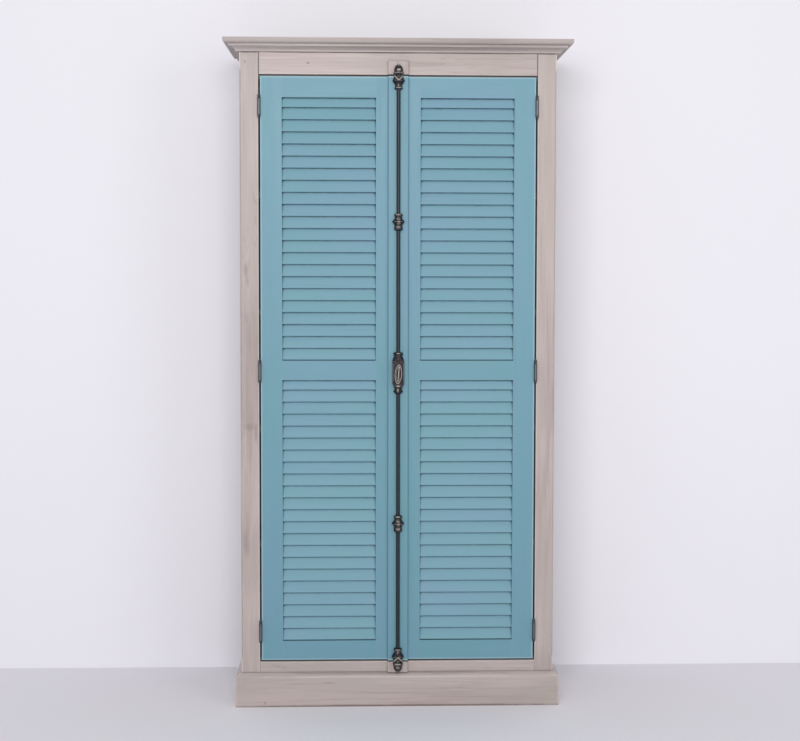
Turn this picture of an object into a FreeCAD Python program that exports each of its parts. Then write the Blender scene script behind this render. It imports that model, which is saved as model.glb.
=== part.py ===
"""Louvred door cabinet: an upright cupboard with a face frame, plinth and crown, two louvred
doors on vase-tipped hinges and a cremone bolt on the cover strip. Millimetres, +Z up, front
towards -Y, X = 0 on the centre line, Y = 0 half way through the overall depth."""

import FreeCAD
import Part
import math
import os

# ---------------------------------------------------------------- driving dimensions
HEIGHT = 2100.0
BODY_WIDTH = 990.0
BODY_DEPTH = 352.0
BOARD = 18.0

FRAME_THICK = 22.0
FRAME_STILE = 58.5
TOP_RAIL_HEIGHT = 91.5
BOTTOM_RAIL_HEIGHT = 70.0
BOTTOM_RAIL_SHOWN_HEIGHT = 34.0
CHAMFER = 6.0
CHAMFER_RUNOUT = 14.0
CHAMFER_START = 5.0
CHAMFER_PAST_OPENING = 24.0
FRAME_EASE = 2.0

PLINTH_HEIGHT = 107.0
PLINTH_THICK = 18.0
PLINTH_CHAMFER = 13.0

CROWN_REACH = 48.0
CROWN_BOARD = 16.5
CROWN_OVOLO = 8.0
MOULD_HEIGHT = 22.5
MOULD_TOP_REACH = 31.0
MOULD_BAND = 8.0
MOULD_STEP = 2.0
MOULD_COVE = 2.0
MOULD_FOOT_REACH = 11.0
MOULD_FOOT = 4.0

FLOOR_LAP = 5.0
CEILING_LAP = 8.0
BACK_THICK = 10.0
BACK_COUNT = 8
BACK_GAP = 1.0
BACK_CHAMFER = 2.0
SHELF_COUNT = 4
SHELF_SETBACK = 20.0
PEG_RADIUS = 2.5
PEG_IN = 10.0
PEG_OUT = 16.0
PEG_INSET = 40.0

DOOR_THICK = 21.0
DOOR_GAP = 5.0
MEETING_GAP = 4.0
DOOR_STILE = 68.0
DOOR_TOP_RAIL = 66.0
DOOR_MID_RAIL = 62.0
DOOR_BOTTOM_RAIL = 62.0
MID_RAIL_RISE = 2.0
DOOR_EASE = 2.5

SLAT_COUNT = 22
SLAT_FIRST = 30.5
SLAT_FOOT = 1.2
SLAT_WIDTH = 42.0
SLAT_THICK = 6.0
SLAT_TILT = 15.0
SLAT_RECESS = 2.0
SLAT_HOUSING = 6.0

STRIP_WIDTH = 64.0
STRIP_THICK = 11.0
STRIP_ROUND = 4.0
STRIP_CLEAR = 0.5
BLOCK_HEIGHT = 42.0
BLOCK_EASE = 1.5

HINGE_FROM_TOP = 91.0
HINGE_FROM_MIDDLE = 0.5
HINGE_FROM_BOTTOM = 95.0
HINGE_RADIUS = 5.0
HINGE_STANDOFF = 4.5
HINGE_UP = 21.5
HINGE_DOWN = 30.5
HINGE_FINIAL_UP = 16.0
HINGE_FINIAL_DOWN = 11.0
HINGE_AXIAL_GAP = 0.3
HINGE_PIN_RADIUS = 3.0
HINGE_PIN_END = 2.5
LEAF_THICK = 2.0
LEAF_WIDTH = 19.0
LEAF_CLEAR = 1.0
LEAF_SCREW_INSET = 10.0
LEAF_SCREW_OFFSETS = (-24.0, -4.5, 15.0)
SCREW_RADIUS = 1.7
SCREW_HEAD_RADIUS = 3.4
SCREW_LENGTH = 15.0

ROD_RADIUS = 6.0
ROD_STANDOFF = 9.0
ROD_END_CLEAR = 1.0
ROD_CHAMFER = 1.2
END_GUIDE_RADIUS = 19.5
END_GUIDE_LENGTH = 42.0
KNUCKLE_RADIUS = 20.0
KNUCKLE_HALF_LENGTH = 26.5
KNUCKLE_SHARE_UP = 0.511
KNUCKLE_SHARE_DOWN = 0.520
KEEPER_GAP = 0.5
KEEPER_RADIUS = 16.5
KEEPER_LENGTH = 31.5
KEEPER_BORE_RADIUS = 6.7
KEEPER_BORE_DEPTH = 18.5
KEEPER_PLATE = 3.0
RUNNING_CLEAR = 0.05
OVERCUT = 1.0

CASE_DROP = 8.5
CASE_HALF_WIDTH = 18.0
CASE_UP = 41.5
CASE_DOWN = 30.5
CASE_TAPER = 11.0
CASE_TAPER_HALF_WIDTH = 12.7
CASE_DEPTH = 22.0
CASE_ROUND = 2.0
CASE_FRONT_WALL = 4.5
CASE_HOLLOW_HALF_WIDTH = 13.2
CASE_HOLLOW_HALF_HEIGHT = 34.8
NECK_RADIUS = 15.2
NECK_UP = 25.0
NECK_DOWN = 22.5
CASE_BOSS_RADIUS = 9.0
CASE_BOSS = 2.5
CASE_SCREW_RADIUS = 1.2
CASE_SCREW_HEAD_RADIUS = 1.9
CASE_SCREW_HEAD = 1.2
CASE_SCREW_X = 15.2
CASE_SCREW_UP = 34.0
CASE_SCREW_DOWN = 26.5
CASE_SCREW_BITE = 8.0

TOOTH_COUNT = 14
MODULE = 1.0
PRESSURE_ANGLE = 20.0
TOOTH_ADDENDUM = 0.8
TOOTH_DEDENDUM = 1.1
TOOTH_BACKLASH = 0.3
GEAR_THICK = 8.0
RACK_BACK = 12.5
RACK_TAIL = 28.0
ROD_FOOT = 9.5
ROD_FOOT_THICK = 3.0
ROD_FLAT = 5.0
ROD_FLAT_TOP = 34.0

SPINDLE_RADIUS = 4.0
SPINDLE_CLEAR = 0.3
SPINDLE_BITE = 12.0
KNOB_GAP = 0.5
KNOB_STEM_RADIUS = 7.0
KNOB_STEM = 9.0
KNOB_HALF_WIDTH = 13.3
KNOB_HALF_HEIGHT = 32.0
KNOB_TILT = 4.0
KNOB_PLATE = 9.0
KNOB_RIM = 2.6
KNOB_RIM_RAISE = 2.0
KNOB_RIB_HALF_WIDTH = 3.4
KNOB_RIB_HALF_HEIGHT = 22.0
KNOB_RIB_RAISE = 3.0
KNOB_EASE = 1.2

# ---------------------------------------------------------------- derived positions
HALF_BODY = BODY_WIDTH / 2
HALF_OPENING = HALF_BODY - FRAME_STILE
HALF_INSIDE = HALF_BODY - BOARD
KNOB_REACH = (STRIP_THICK + CASE_DEPTH + CASE_BOSS + KNOB_GAP + KNOB_STEM
              + KNOB_PLATE + KNOB_RIB_RAISE)
FACE = (KNOB_REACH - BODY_DEPTH) / 2
BACK = FACE + BODY_DEPTH
FRAME_BACK = FACE + FRAME_THICK
BACK_FRONT = BACK - BACK_THICK
CROWN_BOTTOM = HEIGHT - CROWN_BOARD
MOULD_BOTTOM = CROWN_BOTTOM - MOULD_HEIGHT
OPENING_TOP = CROWN_BOTTOM - TOP_RAIL_HEIGHT
OPENING_BOTTOM = PLINTH_HEIGHT + BOTTOM_RAIL_SHOWN_HEIGHT
CHAMFER_TOP = OPENING_TOP + CHAMFER_PAST_OPENING
CHAMFER_BOTTOM = OPENING_BOTTOM + CHAMFER_START
BACK_BOTTOM = OPENING_BOTTOM - BOTTOM_RAIL_HEIGHT

DOOR_INNER = MEETING_GAP / 2
DOOR_OUTER = HALF_OPENING - DOOR_GAP
DOOR_BOTTOM = OPENING_BOTTOM + DOOR_GAP
DOOR_TOP = OPENING_TOP - DOOR_GAP
FLOOR_TOP = DOOR_BOTTOM + FLOOR_LAP
CEILING_BOTTOM = DOOR_TOP - CEILING_LAP
MID_RAIL_CENTRE = (DOOR_BOTTOM + DOOR_TOP) / 2 + MID_RAIL_RISE
DOOR_BACK = FACE + DOOR_THICK
PANEL_INNER = DOOR_INNER + DOOR_STILE
PANEL_OUTER = DOOR_OUTER - DOOR_STILE
MID_LOW = MID_RAIL_CENTRE - DOOR_MID_RAIL / 2
MID_HIGH = MID_RAIL_CENTRE + DOOR_MID_RAIL / 2
PANEL_SPANS = ((MID_HIGH, DOOR_TOP - DOOR_TOP_RAIL), (DOOR_BOTTOM + DOOR_BOTTOM_RAIL, MID_LOW))

HINGE_X = HALF_OPENING - DOOR_GAP / 2
HINGE_Y = FACE - HINGE_STANDOFF
HINGE_SPLITS = (DOOR_TOP - HINGE_FROM_TOP, MID_RAIL_CENTRE - HINGE_FROM_MIDDLE,
                DOOR_BOTTOM + HINGE_FROM_BOTTOM)

STRIP_FACE = FACE - STRIP_THICK
ROD_Y = STRIP_FACE - ROD_STANDOFF
CASE_CENTRE = MID_RAIL_CENTRE - CASE_DROP
CASE_SHOULDER = CASE_CENTRE - CASE_DOWN
CASE_TOP = CASE_CENTRE + CASE_UP
CASE_FOOT = CASE_SHOULDER - CASE_TAPER
KNUCKLE_CENTRES = (CASE_CENTRE + KNUCKLE_SHARE_UP * (DOOR_TOP - CASE_CENTRE),
                   CASE_CENTRE - KNUCKLE_SHARE_DOWN * (CASE_CENTRE - DOOR_BOTTOM))
CASE_FACE = STRIP_FACE - CASE_DEPTH
BOSS_FACE = CASE_FACE - CASE_BOSS
KNOB_BACK = BOSS_FACE - KNOB_GAP
KNOB_PLATE_BACK = KNOB_BACK - KNOB_STEM
KNOB_PLATE_FRONT = KNOB_PLATE_BACK - KNOB_PLATE
PITCH_RADIUS = MODULE * TOOTH_COUNT / 2

# Turned outlines as (share of the named radius, share of the named length) pairs.
FINIAL_OUTLINE = ((1.0, 0.0), (0.6, 0.10), (0.6, 0.20), (0.92, 0.36), (0.92, 0.52),
                  (0.5, 0.76), (0.28, 0.94), (0.0, 1.0))
KNUCKLE_OUTLINE = ((1.0, 0.02), (0.925, 0.09), (0.725, 0.28), (0.54, 0.49), (0.58, 0.53),
                   (0.58, 0.585), (0.525, 0.64), (0.55, 0.72), (0.7, 0.81), (0.7, 0.89),
                   (0.65, 0.945), (0.475, 1.0), (0.0, 1.0))
END_GUIDE_OUTLINE = ((0.0, 0.0), (0.795, 0.0), (0.795, 0.06), (0.72, 0.11), (0.795, 0.24),
                     (1.0, 0.39), (1.0, 0.44), (0.77, 0.58), (0.555, 0.69), (0.515, 0.75),
                     (0.555, 0.81), (0.7, 0.87), (0.7, 0.94), (0.615, 0.975), (0.46, 1.0),
                     (0.0, 1.0))
KEEPER_OUTLINE = ((0.0, 0.0), (0.91, 0.0), (1.0, 0.065), (1.0, 0.145), (0.825, 0.24),
                  (0.86, 0.35), (0.825, 0.475), (0.64, 0.65), (0.39, 0.825), (0.16, 0.95),
                  (0.0, 1.0))
NECK_UP_OUTLINE = ((1.05, 0.0), (0.95, 0.17), (0.81, 0.40), (0.78, 0.58), (0.80, 0.68),
                   (1.0, 0.78), (1.0, 0.92), (0.84, 1.0), (0.0, 1.0))
NECK_DOWN_OUTLINE = ((0.835, 0.0), (0.75, 0.25), (0.73, 0.42), (0.80, 0.50), (1.0, 0.59),
                     (1.0, 0.69), (0.74, 0.87), (0.49, 1.0), (0.0, 1.0))

UP = FreeCAD.Vector(0, 0, 1)
ACROSS = FreeCAD.Vector(1, 0, 0)
INWARD = FreeCAD.Vector(0, 1, 0)
ORIGIN = FreeCAD.Vector(0, 0, 0)


# ---------------------------------------------------------------- shape helpers
def block(x_span, y_span, z_span):
    """Box between two limits along each axis."""
    corner = FreeCAD.Vector(x_span[0], y_span[0], z_span[0])
    return Part.makeBox(x_span[1] - x_span[0], y_span[1] - y_span[0],
                        z_span[1] - z_span[0], corner)


def post(x, y, z_span, radius):
    """Upright cylinder."""
    base = FreeCAD.Vector(x, y, z_span[0])
    return Part.makeCylinder(radius, z_span[1] - z_span[0], base, UP)


def stud(x, z, y_span, radius):
    """Cylinder that runs front to back."""
    base = FreeCAD.Vector(x, y_span[0], z)
    return Part.makeCylinder(radius, y_span[1] - y_span[0], base, INWARD)


def prism(points, direction):
    """Straight prism on a closed polygon of 3-D points."""
    outline = [FreeCAD.Vector(*point) for point in points]
    return Part.Face(Part.makePolygon(outline + outline[:1])).extrude(direction)


def sized(outline, radius, length):
    """Turned outline brought to its real radius and length."""
    return [(radius * out, length * along) for out, along in outline]


def turned(profile, x, y, z, flip=1):
    """Solid of revolution about an upright axis; profile holds (radius, height) pairs."""
    outline = [FreeCAD.Vector(x + radius, y, z + flip * height) for radius, height in profile]
    face = Part.Face(Part.makePolygon(outline + outline[:1]))
    return face.revolve(FreeCAD.Vector(x, y, 0), UP, 360)


def eased(shape, radius, wanted):
    """Round the edges whose centre passes the test."""
    edges = [edge for edge in shape.Edges if wanted(edge.CenterOfMass)]
    return shape.makeFillet(radius, edges)


def near(value, target):
    return abs(value - target) < 0.01


def mirrored(shape):
    return shape.mirror(ORIGIN, ACROSS)


def group(shapes):
    return Part.makeCompound(list(shapes))


def mitred_front(section, reach):
    """Front run of a moulding, cut to 45 degrees at both ends. The section holds
    (distance in front of the frame face, height) pairs."""
    wide = HALF_BODY + reach
    points = [(-wide, FACE - out, z) for out, z in section]
    run = prism(points, ACROSS * (2 * wide))
    plan = [(-HALF_BODY, FACE, 0), (HALF_BODY, FACE, 0),
            (wide, FACE - reach, 0), (-wide, FACE - reach, 0)]
    return run.common(prism(plan, UP * HEIGHT))


def mitred_return(section, reach):
    """Right-hand return of a moulding, cut to 45 degrees at its front end."""
    points = [(HALF_BODY + out, FACE - reach, z) for out, z in section]
    run = prism(points, INWARD * (BODY_DEPTH + reach))
    plan = [(HALF_BODY, FACE, 0), (HALF_BODY + reach, FACE - reach, 0),
            (HALF_BODY + reach, BACK, 0), (HALF_BODY, BACK, 0)]
    return run.common(prism(plan, UP * HEIGHT))


# ---------------------------------------------------------------- fasteners
def leaf_screw(face_x, y, z, side):
    """Countersunk screw driven outwards (side 1) or inwards (side -1) from a leaf's face."""
    base = FreeCAD.Vector(face_x, y, z)
    head = Part.makeCone(SCREW_HEAD_RADIUS, SCREW_RADIUS, LEAF_THICK, base, ACROSS * side)
    neck = FreeCAD.Vector(face_x + side * LEAF_THICK, y, z)
    return head.fuse(Part.makeCylinder(SCREW_RADIUS, SCREW_LENGTH, neck, ACROSS * side))


def screw_row(face_x, side):
    y = FACE + LEAF_CLEAR + LEAF_SCREW_INSET
    return [leaf_screw(face_x, y, split + offset, side)
            for split in HINGE_SPLITS for offset in LEAF_SCREW_OFFSETS]


FRAME_LEAF_FACE = HALF_OPENING - LEAF_THICK
DOOR_LEAF_FACE = DOOR_OUTER + LEAF_THICK
FRAME_SCREWS = screw_row(FRAME_LEAF_FACE, 1)
DOOR_SCREWS = screw_row(DOOR_LEAF_FACE, -1)


# ---------------------------------------------------------------- hinges, right-hand side
def finial(length, end_z, flip):
    """Turned tip of a hinge barrel."""
    profile = [(0, 0)] + sized(FINIAL_OUTLINE, HINGE_RADIUS, length)
    return turned(profile, HINGE_X, HINGE_Y, end_z, flip)


def leaf(x_span, barrel_span, split):
    """Flat plate in the joint, with a tab that joins it to its own knuckle."""
    plate_front = FACE + LEAF_CLEAR
    plate = block(x_span, (plate_front, plate_front + LEAF_WIDTH),
                  (split - HINGE_DOWN, split + HINGE_UP))
    return plate.fuse(block(x_span, (HINGE_Y, plate_front), barrel_span))


def hinge_frame_part(split):
    """Lower knuckle, its finial and the leaf on the frame; the pin is fixed in it."""
    span = (split - HINGE_DOWN, split - HINGE_AXIAL_GAP / 2)
    shape = post(HINGE_X, HINGE_Y, span, HINGE_RADIUS)
    tip = finial(HINGE_FINIAL_DOWN, split - HINGE_DOWN, -1)
    plate = leaf((FRAME_LEAF_FACE, HALF_OPENING), span, split)
    return shape.fuse([tip, plate]).cut([hinge_pin(split)] + FRAME_SCREWS).removeSplitter()


def hinge_door_part(split):
    """Upper knuckle, its finial and the leaf on the door; it turns on the pin."""
    span = (split + HINGE_AXIAL_GAP / 2, split + HINGE_UP)
    shape = post(HINGE_X, HINGE_Y, span, HINGE_RADIUS)
    tip = finial(HINGE_FINIAL_UP, split + HINGE_UP, 1)
    plate = leaf((DOOR_OUTER, DOOR_LEAF_FACE), span, split)
    bore_top = split + HINGE_UP - HINGE_PIN_END + HINGE_AXIAL_GAP
    bore = post(HINGE_X, HINGE_Y, (split, bore_top), HINGE_PIN_RADIUS + RUNNING_CLEAR)
    return shape.fuse([tip, plate]).cut([bore] + DOOR_SCREWS).removeSplitter()


def hinge_pin(split):
    span = (split - HINGE_DOWN + HINGE_PIN_END, split + HINGE_UP - HINGE_PIN_END)
    return post(HINGE_X, HINGE_Y, span, HINGE_PIN_RADIUS)


# ---------------------------------------------------------------- carcase
def frame_stile():
    """Right-hand upright of the face frame with a stopped chamfer on its outer arris."""
    shape = block((HALF_OPENING, HALF_BODY), (FACE, FRAME_BACK), (0, CROWN_BOTTOM))
    shape = eased(shape, FRAME_EASE, lambda c: near(c.y, FACE) and near(c.x, HALF_OPENING))

    def corner(leg, z):
        points = [FreeCAD.Vector(HALF_BODY + OVERCUT, FACE - OVERCUT, z),
                  FreeCAD.Vector(HALF_BODY - leg, FACE - OVERCUT, z),
                  FreeCAD.Vector(HALF_BODY + OVERCUT, FACE + leg, z)]
        return Part.makePolygon(points + points[:1])

    # The end stations lie just outside the arris, so the chamfer runs out to nothing.
    outside = -0.9 * OVERCUT
    stations = [corner(outside, CHAMFER_BOTTOM),
                corner(CHAMFER, CHAMFER_BOTTOM + CHAMFER_RUNOUT),
                corner(CHAMFER, CHAMFER_TOP - CHAMFER_RUNOUT), corner(outside, CHAMFER_TOP)]
    return shape.cut([Part.makeLoft(stations, True, True)] + FRAME_SCREWS)


def side_panel(pegs):
    shape = block((HALF_INSIDE, HALF_BODY), (FRAME_BACK, BACK), (0, CROWN_BOTTOM))
    return shape.cut(pegs)


def shelf_levels():
    """Underside height of each shelf, the bays being equal."""
    bay = (CEILING_BOTTOM - FLOOR_TOP - SHELF_COUNT * BOARD) / (SHELF_COUNT + 1)
    return [FLOOR_TOP + bay + i * (bay + BOARD) for i in range(SHELF_COUNT)]


def right_pegs():
    rows = (FRAME_BACK + SHELF_SETBACK + PEG_INSET, BACK_FRONT - PEG_INSET)
    return [Part.makeCylinder(PEG_RADIUS, PEG_IN + PEG_OUT,
                              FreeCAD.Vector(HALF_INSIDE - PEG_OUT, y, level - PEG_RADIUS),
                              ACROSS)
            for level in shelf_levels() for y in rows]


def back_boards():
    pitch = 2 * HALF_INSIDE / BACK_COUNT
    boards = []
    for i in range(BACK_COUNT):
        left = -HALF_INSIDE + i * pitch + (BACK_GAP / 2 if i else 0)
        right = -HALF_INSIDE + (i + 1) * pitch - (BACK_GAP / 2 if i < BACK_COUNT - 1 else 0)
        points = [(left, BACK_FRONT, BACK_BOTTOM), (right, BACK_FRONT, BACK_BOTTOM),
                  (right, BACK - BACK_CHAMFER, BACK_BOTTOM),
                  (right - BACK_CHAMFER, BACK, BACK_BOTTOM),
                  (left + BACK_CHAMFER, BACK, BACK_BOTTOM),
                  (left, BACK - BACK_CHAMFER, BACK_BOTTOM)]
        boards.append(prism(points, UP * (CROWN_BOTTOM - BACK_BOTTOM)))
    return group(boards)


def crown_board():
    """Top board with an ovolo under its front and side edges."""
    reach = HALF_BODY + CROWN_REACH
    shape = block((-reach, reach), (FACE - CROWN_REACH, BACK), (CROWN_BOTTOM, HEIGHT))
    return eased(shape, CROWN_OVOLO,
                 lambda c: near(c.z, CROWN_BOTTOM) and not near(c.y, BACK))


def crown_section():
    """Band, shallow cove and foot of the moulding under the top board."""
    band_foot = CROWN_BOTTOM - MOULD_BAND
    cove_foot = MOULD_BOTTOM + MOULD_FOOT
    cove_top = MOULD_TOP_REACH - MOULD_STEP
    width, height = MOULD_FOOT_REACH - cove_top, cove_foot - band_foot
    length = math.hypot(width, height)
    cove = []
    for share in (0.0, 0.2, 0.4, 0.6, 0.8, 1.0):
        sink = 4 * MOULD_COVE * share * (1 - share) / length
        cove.append((cove_top + share * width + sink * height,
                     band_foot + share * height - sink * width))
    return ([(0, CROWN_BOTTOM), (MOULD_TOP_REACH, CROWN_BOTTOM), (MOULD_TOP_REACH, band_foot)]
            + cove + [(MOULD_FOOT_REACH, MOULD_BOTTOM), (0, MOULD_BOTTOM)])


def plinth_section():
    return [(0, 0), (PLINTH_THICK, 0), (PLINTH_THICK, PLINTH_HEIGHT - PLINTH_CHAMFER),
            (PLINTH_THICK - PLINTH_CHAMFER, PLINTH_HEIGHT), (0, PLINTH_HEIGHT)]


def frame_rail(z_span, hidden_edge):
    """Rail between the stiles, its front arrises eased except the covered one."""
    shape = block((-HALF_OPENING, HALF_OPENING), (FACE, FRAME_BACK), z_span)
    return eased(shape, FRAME_EASE, lambda c: near(c.y, FACE) and not near(c.z, hidden_edge))


def keeper_block(z_span):
    half = STRIP_WIDTH / 2
    shape = block((-half, half), (STRIP_FACE, FACE), z_span)
    return eased(shape, BLOCK_EASE, lambda c: near(c.y, STRIP_FACE))


def carcase():
    pegs = right_pegs()
    side = side_panel(pegs)
    stile = frame_stile()
    inside = (-HALF_INSIDE, HALF_INSIDE)
    plinth_return = mitred_return(plinth_section(), PLINTH_THICK)
    mould_return = mitred_return(crown_section(), MOULD_TOP_REACH)
    hinges = [hinge_frame_part(split) for split in HINGE_SPLITS]
    pins = [hinge_pin(split) for split in HINGE_SPLITS]
    nodes = {
        "side_left": mirrored(side),
        "side_right": side,
        "bottom_panel": block(inside, (FRAME_BACK, BACK_FRONT), (FLOOR_TOP - BOARD, FLOOR_TOP)),
        "top_panel": block(inside, (FRAME_BACK, BACK_FRONT),
                           (CEILING_BOTTOM, CEILING_BOTTOM + BOARD)),
        "back_boards": back_boards(),
        "back_bearer": block(inside, (BACK_FRONT - BOARD, BACK_FRONT),
                             (BACK_BOTTOM, FLOOR_TOP - BOARD)),
        "shelf_pegs": group(pegs + [mirrored(peg) for peg in pegs]),
        "frame_stile_left": mirrored(stile),
        "frame_stile_right": stile,
        "frame_rail_top": frame_rail((OPENING_TOP, CROWN_BOTTOM), CROWN_BOTTOM),
        "frame_rail_bottom": frame_rail((BACK_BOTTOM, OPENING_BOTTOM), BACK_BOTTOM),
        "plinth_front": mitred_front(plinth_section(), PLINTH_THICK),
        "plinth_left": mirrored(plinth_return),
        "plinth_right": plinth_return,
        "crown_board": crown_board(),
        "crown_mould_front": mitred_front(crown_section(), MOULD_TOP_REACH),
        "crown_mould_left": mirrored(mould_return),
        "crown_mould_right": mould_return,
        "keeper_block_top": keeper_block((OPENING_TOP, OPENING_TOP + BLOCK_HEIGHT)),
        "keeper_block_bottom": keeper_block((PLINTH_HEIGHT, OPENING_BOTTOM)),
        "keeper_top": keeper(OPENING_TOP + KEEPER_GAP, 1),
        "keeper_bottom": keeper(OPENING_BOTTOM - KEEPER_GAP, -1),
        "hinge_frame_leaves": group(hinges + [mirrored(hinge) for hinge in hinges]),
        "hinge_pins": group(pins + [mirrored(pin) for pin in pins]),
        "hinge_frame_screws": group(FRAME_SCREWS + [mirrored(s) for s in FRAME_SCREWS]),
    }
    for number, level in enumerate(shelf_levels(), start=1):
        nodes[f"shelf_{number}"] = block(inside, (FRAME_BACK + SHELF_SETBACK, BACK_FRONT),
                                         (level, level + BOARD))
    return nodes


# ---------------------------------------------------------------- doors
def slat(nose_z, panel_span):
    """One louvre: a thin blade with a round nose, its lower edge at the front."""
    tilt = math.radians(SLAT_TILT)
    along = (math.sin(tilt), math.cos(tilt))
    half = SLAT_THICK / 2
    nose = (FACE + SLAT_RECESS + half, nose_z + half)
    far = (nose[0] + (SLAT_WIDTH - half) * along[0], nose[1] + (SLAT_WIDTH - half) * along[1])
    side = (half * along[1], -half * along[0])
    x = PANEL_INNER - SLAT_HOUSING

    def at(point, direction=(0, 0), sign=1):
        return FreeCAD.Vector(x, point[0] + sign * direction[0], point[1] + sign * direction[1])

    tip = FreeCAD.Vector(x, nose[0] - half * along[0], nose[1] - half * along[1])
    front_low, front_high = at(nose, side, -1), at(far, side, -1)
    back_low, back_high = at(nose, side), at(far, side)
    wire = Part.Wire([Part.LineSegment(front_low, front_high).toShape(),
                      Part.LineSegment(front_high, back_high).toShape(),
                      Part.LineSegment(back_high, back_low).toShape(),
                      Part.Arc(back_low, tip, front_low).toShape()])
    length = PANEL_OUTER - PANEL_INNER + 2 * SLAT_HOUSING
    blade = Part.Face(wire).extrude(ACROSS * length)
    room = block((x, x + length), (FACE, DOOR_BACK), panel_span)
    return blade.common(room)


def slat_set(panel_span):
    first = panel_span[0] + SLAT_FOOT
    pitch = (panel_span[1] - SLAT_FIRST - first) / (SLAT_COUNT - 1)
    return [slat(first + i * pitch, panel_span) for i in range(SLAT_COUNT)]


def door_nodes():
    """Right-hand leaf: stiles, rails, two sets of slats, hinge leaves and their screws."""
    slats = [slat_set(span) for span in PANEL_SPANS]
    housings = slats[0] + slats[1]
    depth = (FACE, DOOR_BACK)
    outer = eased(block((PANEL_OUTER, DOOR_OUTER), depth, (DOOR_BOTTOM, DOOR_TOP)), DOOR_EASE,
                  lambda c: near(c.y, FACE) and not near(c.x, PANEL_OUTER))
    inner = eased(block((DOOR_INNER, PANEL_INNER), depth, (DOOR_BOTTOM, DOOR_TOP)), DOOR_EASE,
                  lambda c: near(c.y, FACE) and (near(c.z, DOOR_TOP) or near(c.z, DOOR_BOTTOM)))
    panel = (PANEL_INNER, PANEL_OUTER)
    top = eased(block(panel, depth, (PANEL_SPANS[0][1], DOOR_TOP)), DOOR_EASE,
                lambda c: near(c.y, FACE) and near(c.z, DOOR_TOP))
    bottom = eased(block(panel, depth, (DOOR_BOTTOM, PANEL_SPANS[1][0])), DOOR_EASE,
                   lambda c: near(c.y, FACE) and near(c.z, DOOR_BOTTOM))
    return {
        "stile_outer": outer.cut(housings + DOOR_SCREWS),
        "stile_inner": inner.cut(housings),
        "rail_top": top,
        "rail_mid": block(panel, depth, (MID_LOW, MID_HIGH)),
        "rail_bottom": bottom,
        "slats_upper": group(slats[0]),
        "slats_lower": group(slats[1]),
        "hinge_leaves": group(hinge_door_part(split) for split in HINGE_SPLITS),
        "hinge_screws": group(DOOR_SCREWS),
    }


# ---------------------------------------------------------------- cremone bolt
def seated(shape):
    """Flatten the back of a turned fitting against the face of the cover strip."""
    wide = 2 * STRIP_WIDTH
    behind = block((-wide, wide), (STRIP_FACE, STRIP_FACE + wide), (0, HEIGHT))
    return shape.cut(behind)


def rod_hole(z_span, radius=ROD_RADIUS + RUNNING_CLEAR):
    return post(0, ROD_Y, z_span, radius)


def knuckle_guide(centre):
    """Turned guide with a sharp waist ring between two collars."""
    half = sized(KNUCKLE_OUTLINE, KNUCKLE_RADIUS, KNUCKLE_HALF_LENGTH)
    profile = half[::-1] + [(radius, -height) for radius, height in half]
    reach = KNUCKLE_HALF_LENGTH + OVERCUT
    shape = seated(turned(profile, 0, ROD_Y, centre))
    return shape.cut(rod_hole((centre - reach, centre + reach)))


def end_guide(mouth, flip):
    """Vase-shaped guide at the end of the strip; its mouth faces the keeper."""
    profile = sized(END_GUIDE_OUTLINE, END_GUIDE_RADIUS, END_GUIDE_LENGTH)
    shape = seated(turned(profile, 0, ROD_Y, mouth, -flip))
    ends = sorted((mouth + flip * OVERCUT, mouth - flip * (END_GUIDE_LENGTH + OVERCUT)))
    return shape.cut(rod_hole(ends))


def keeper(mouth, flip):
    """Pointed keeper that takes the end of a rod, on a thin plate against its block."""
    profile = sized(KEEPER_OUTLINE, KEEPER_RADIUS, KEEPER_LENGTH)
    shape = seated(turned(profile, 0, ROD_Y, mouth, flip))
    half = [(radius, mouth + flip * height) for radius, height in profile[2:]]
    outline = [(radius, STRIP_FACE, z) for radius, z in half]
    outline += [(-radius, STRIP_FACE, z) for radius, z in reversed(half[:-1])]
    plate = prism(outline, INWARD * -KEEPER_PLATE)
    ends = sorted((mouth - flip * OVERCUT, mouth + flip * KEEPER_BORE_DEPTH))
    return shape.fuse(plate).removeSplitter().cut(rod_hole(ends, KEEPER_BORE_RADIUS))


def case_screws():
    span = (CASE_FACE, STRIP_FACE + CASE_SCREW_BITE)
    head = (CASE_FACE - CASE_SCREW_HEAD, CASE_FACE)
    spots = [(x, CASE_CENTRE + z) for x in (-CASE_SCREW_X, CASE_SCREW_X)
             for z in (-CASE_SCREW_DOWN, CASE_SCREW_UP)]
    return [stud(x, z, span, CASE_SCREW_RADIUS).fuse(stud(x, z, head, CASE_SCREW_HEAD_RADIUS))
            for x, z in spots]


def case_neck(outline, length, z, flip):
    """Turned neck of the gear case, its root let into the box."""
    neck = sized(outline, NECK_RADIUS, length)
    root = [(0, -CASE_ROUND), (CASE_TAPER_HALF_WIDTH, -CASE_ROUND)]
    return seated(turned(root + neck, 0, ROD_Y, z, flip))


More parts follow.
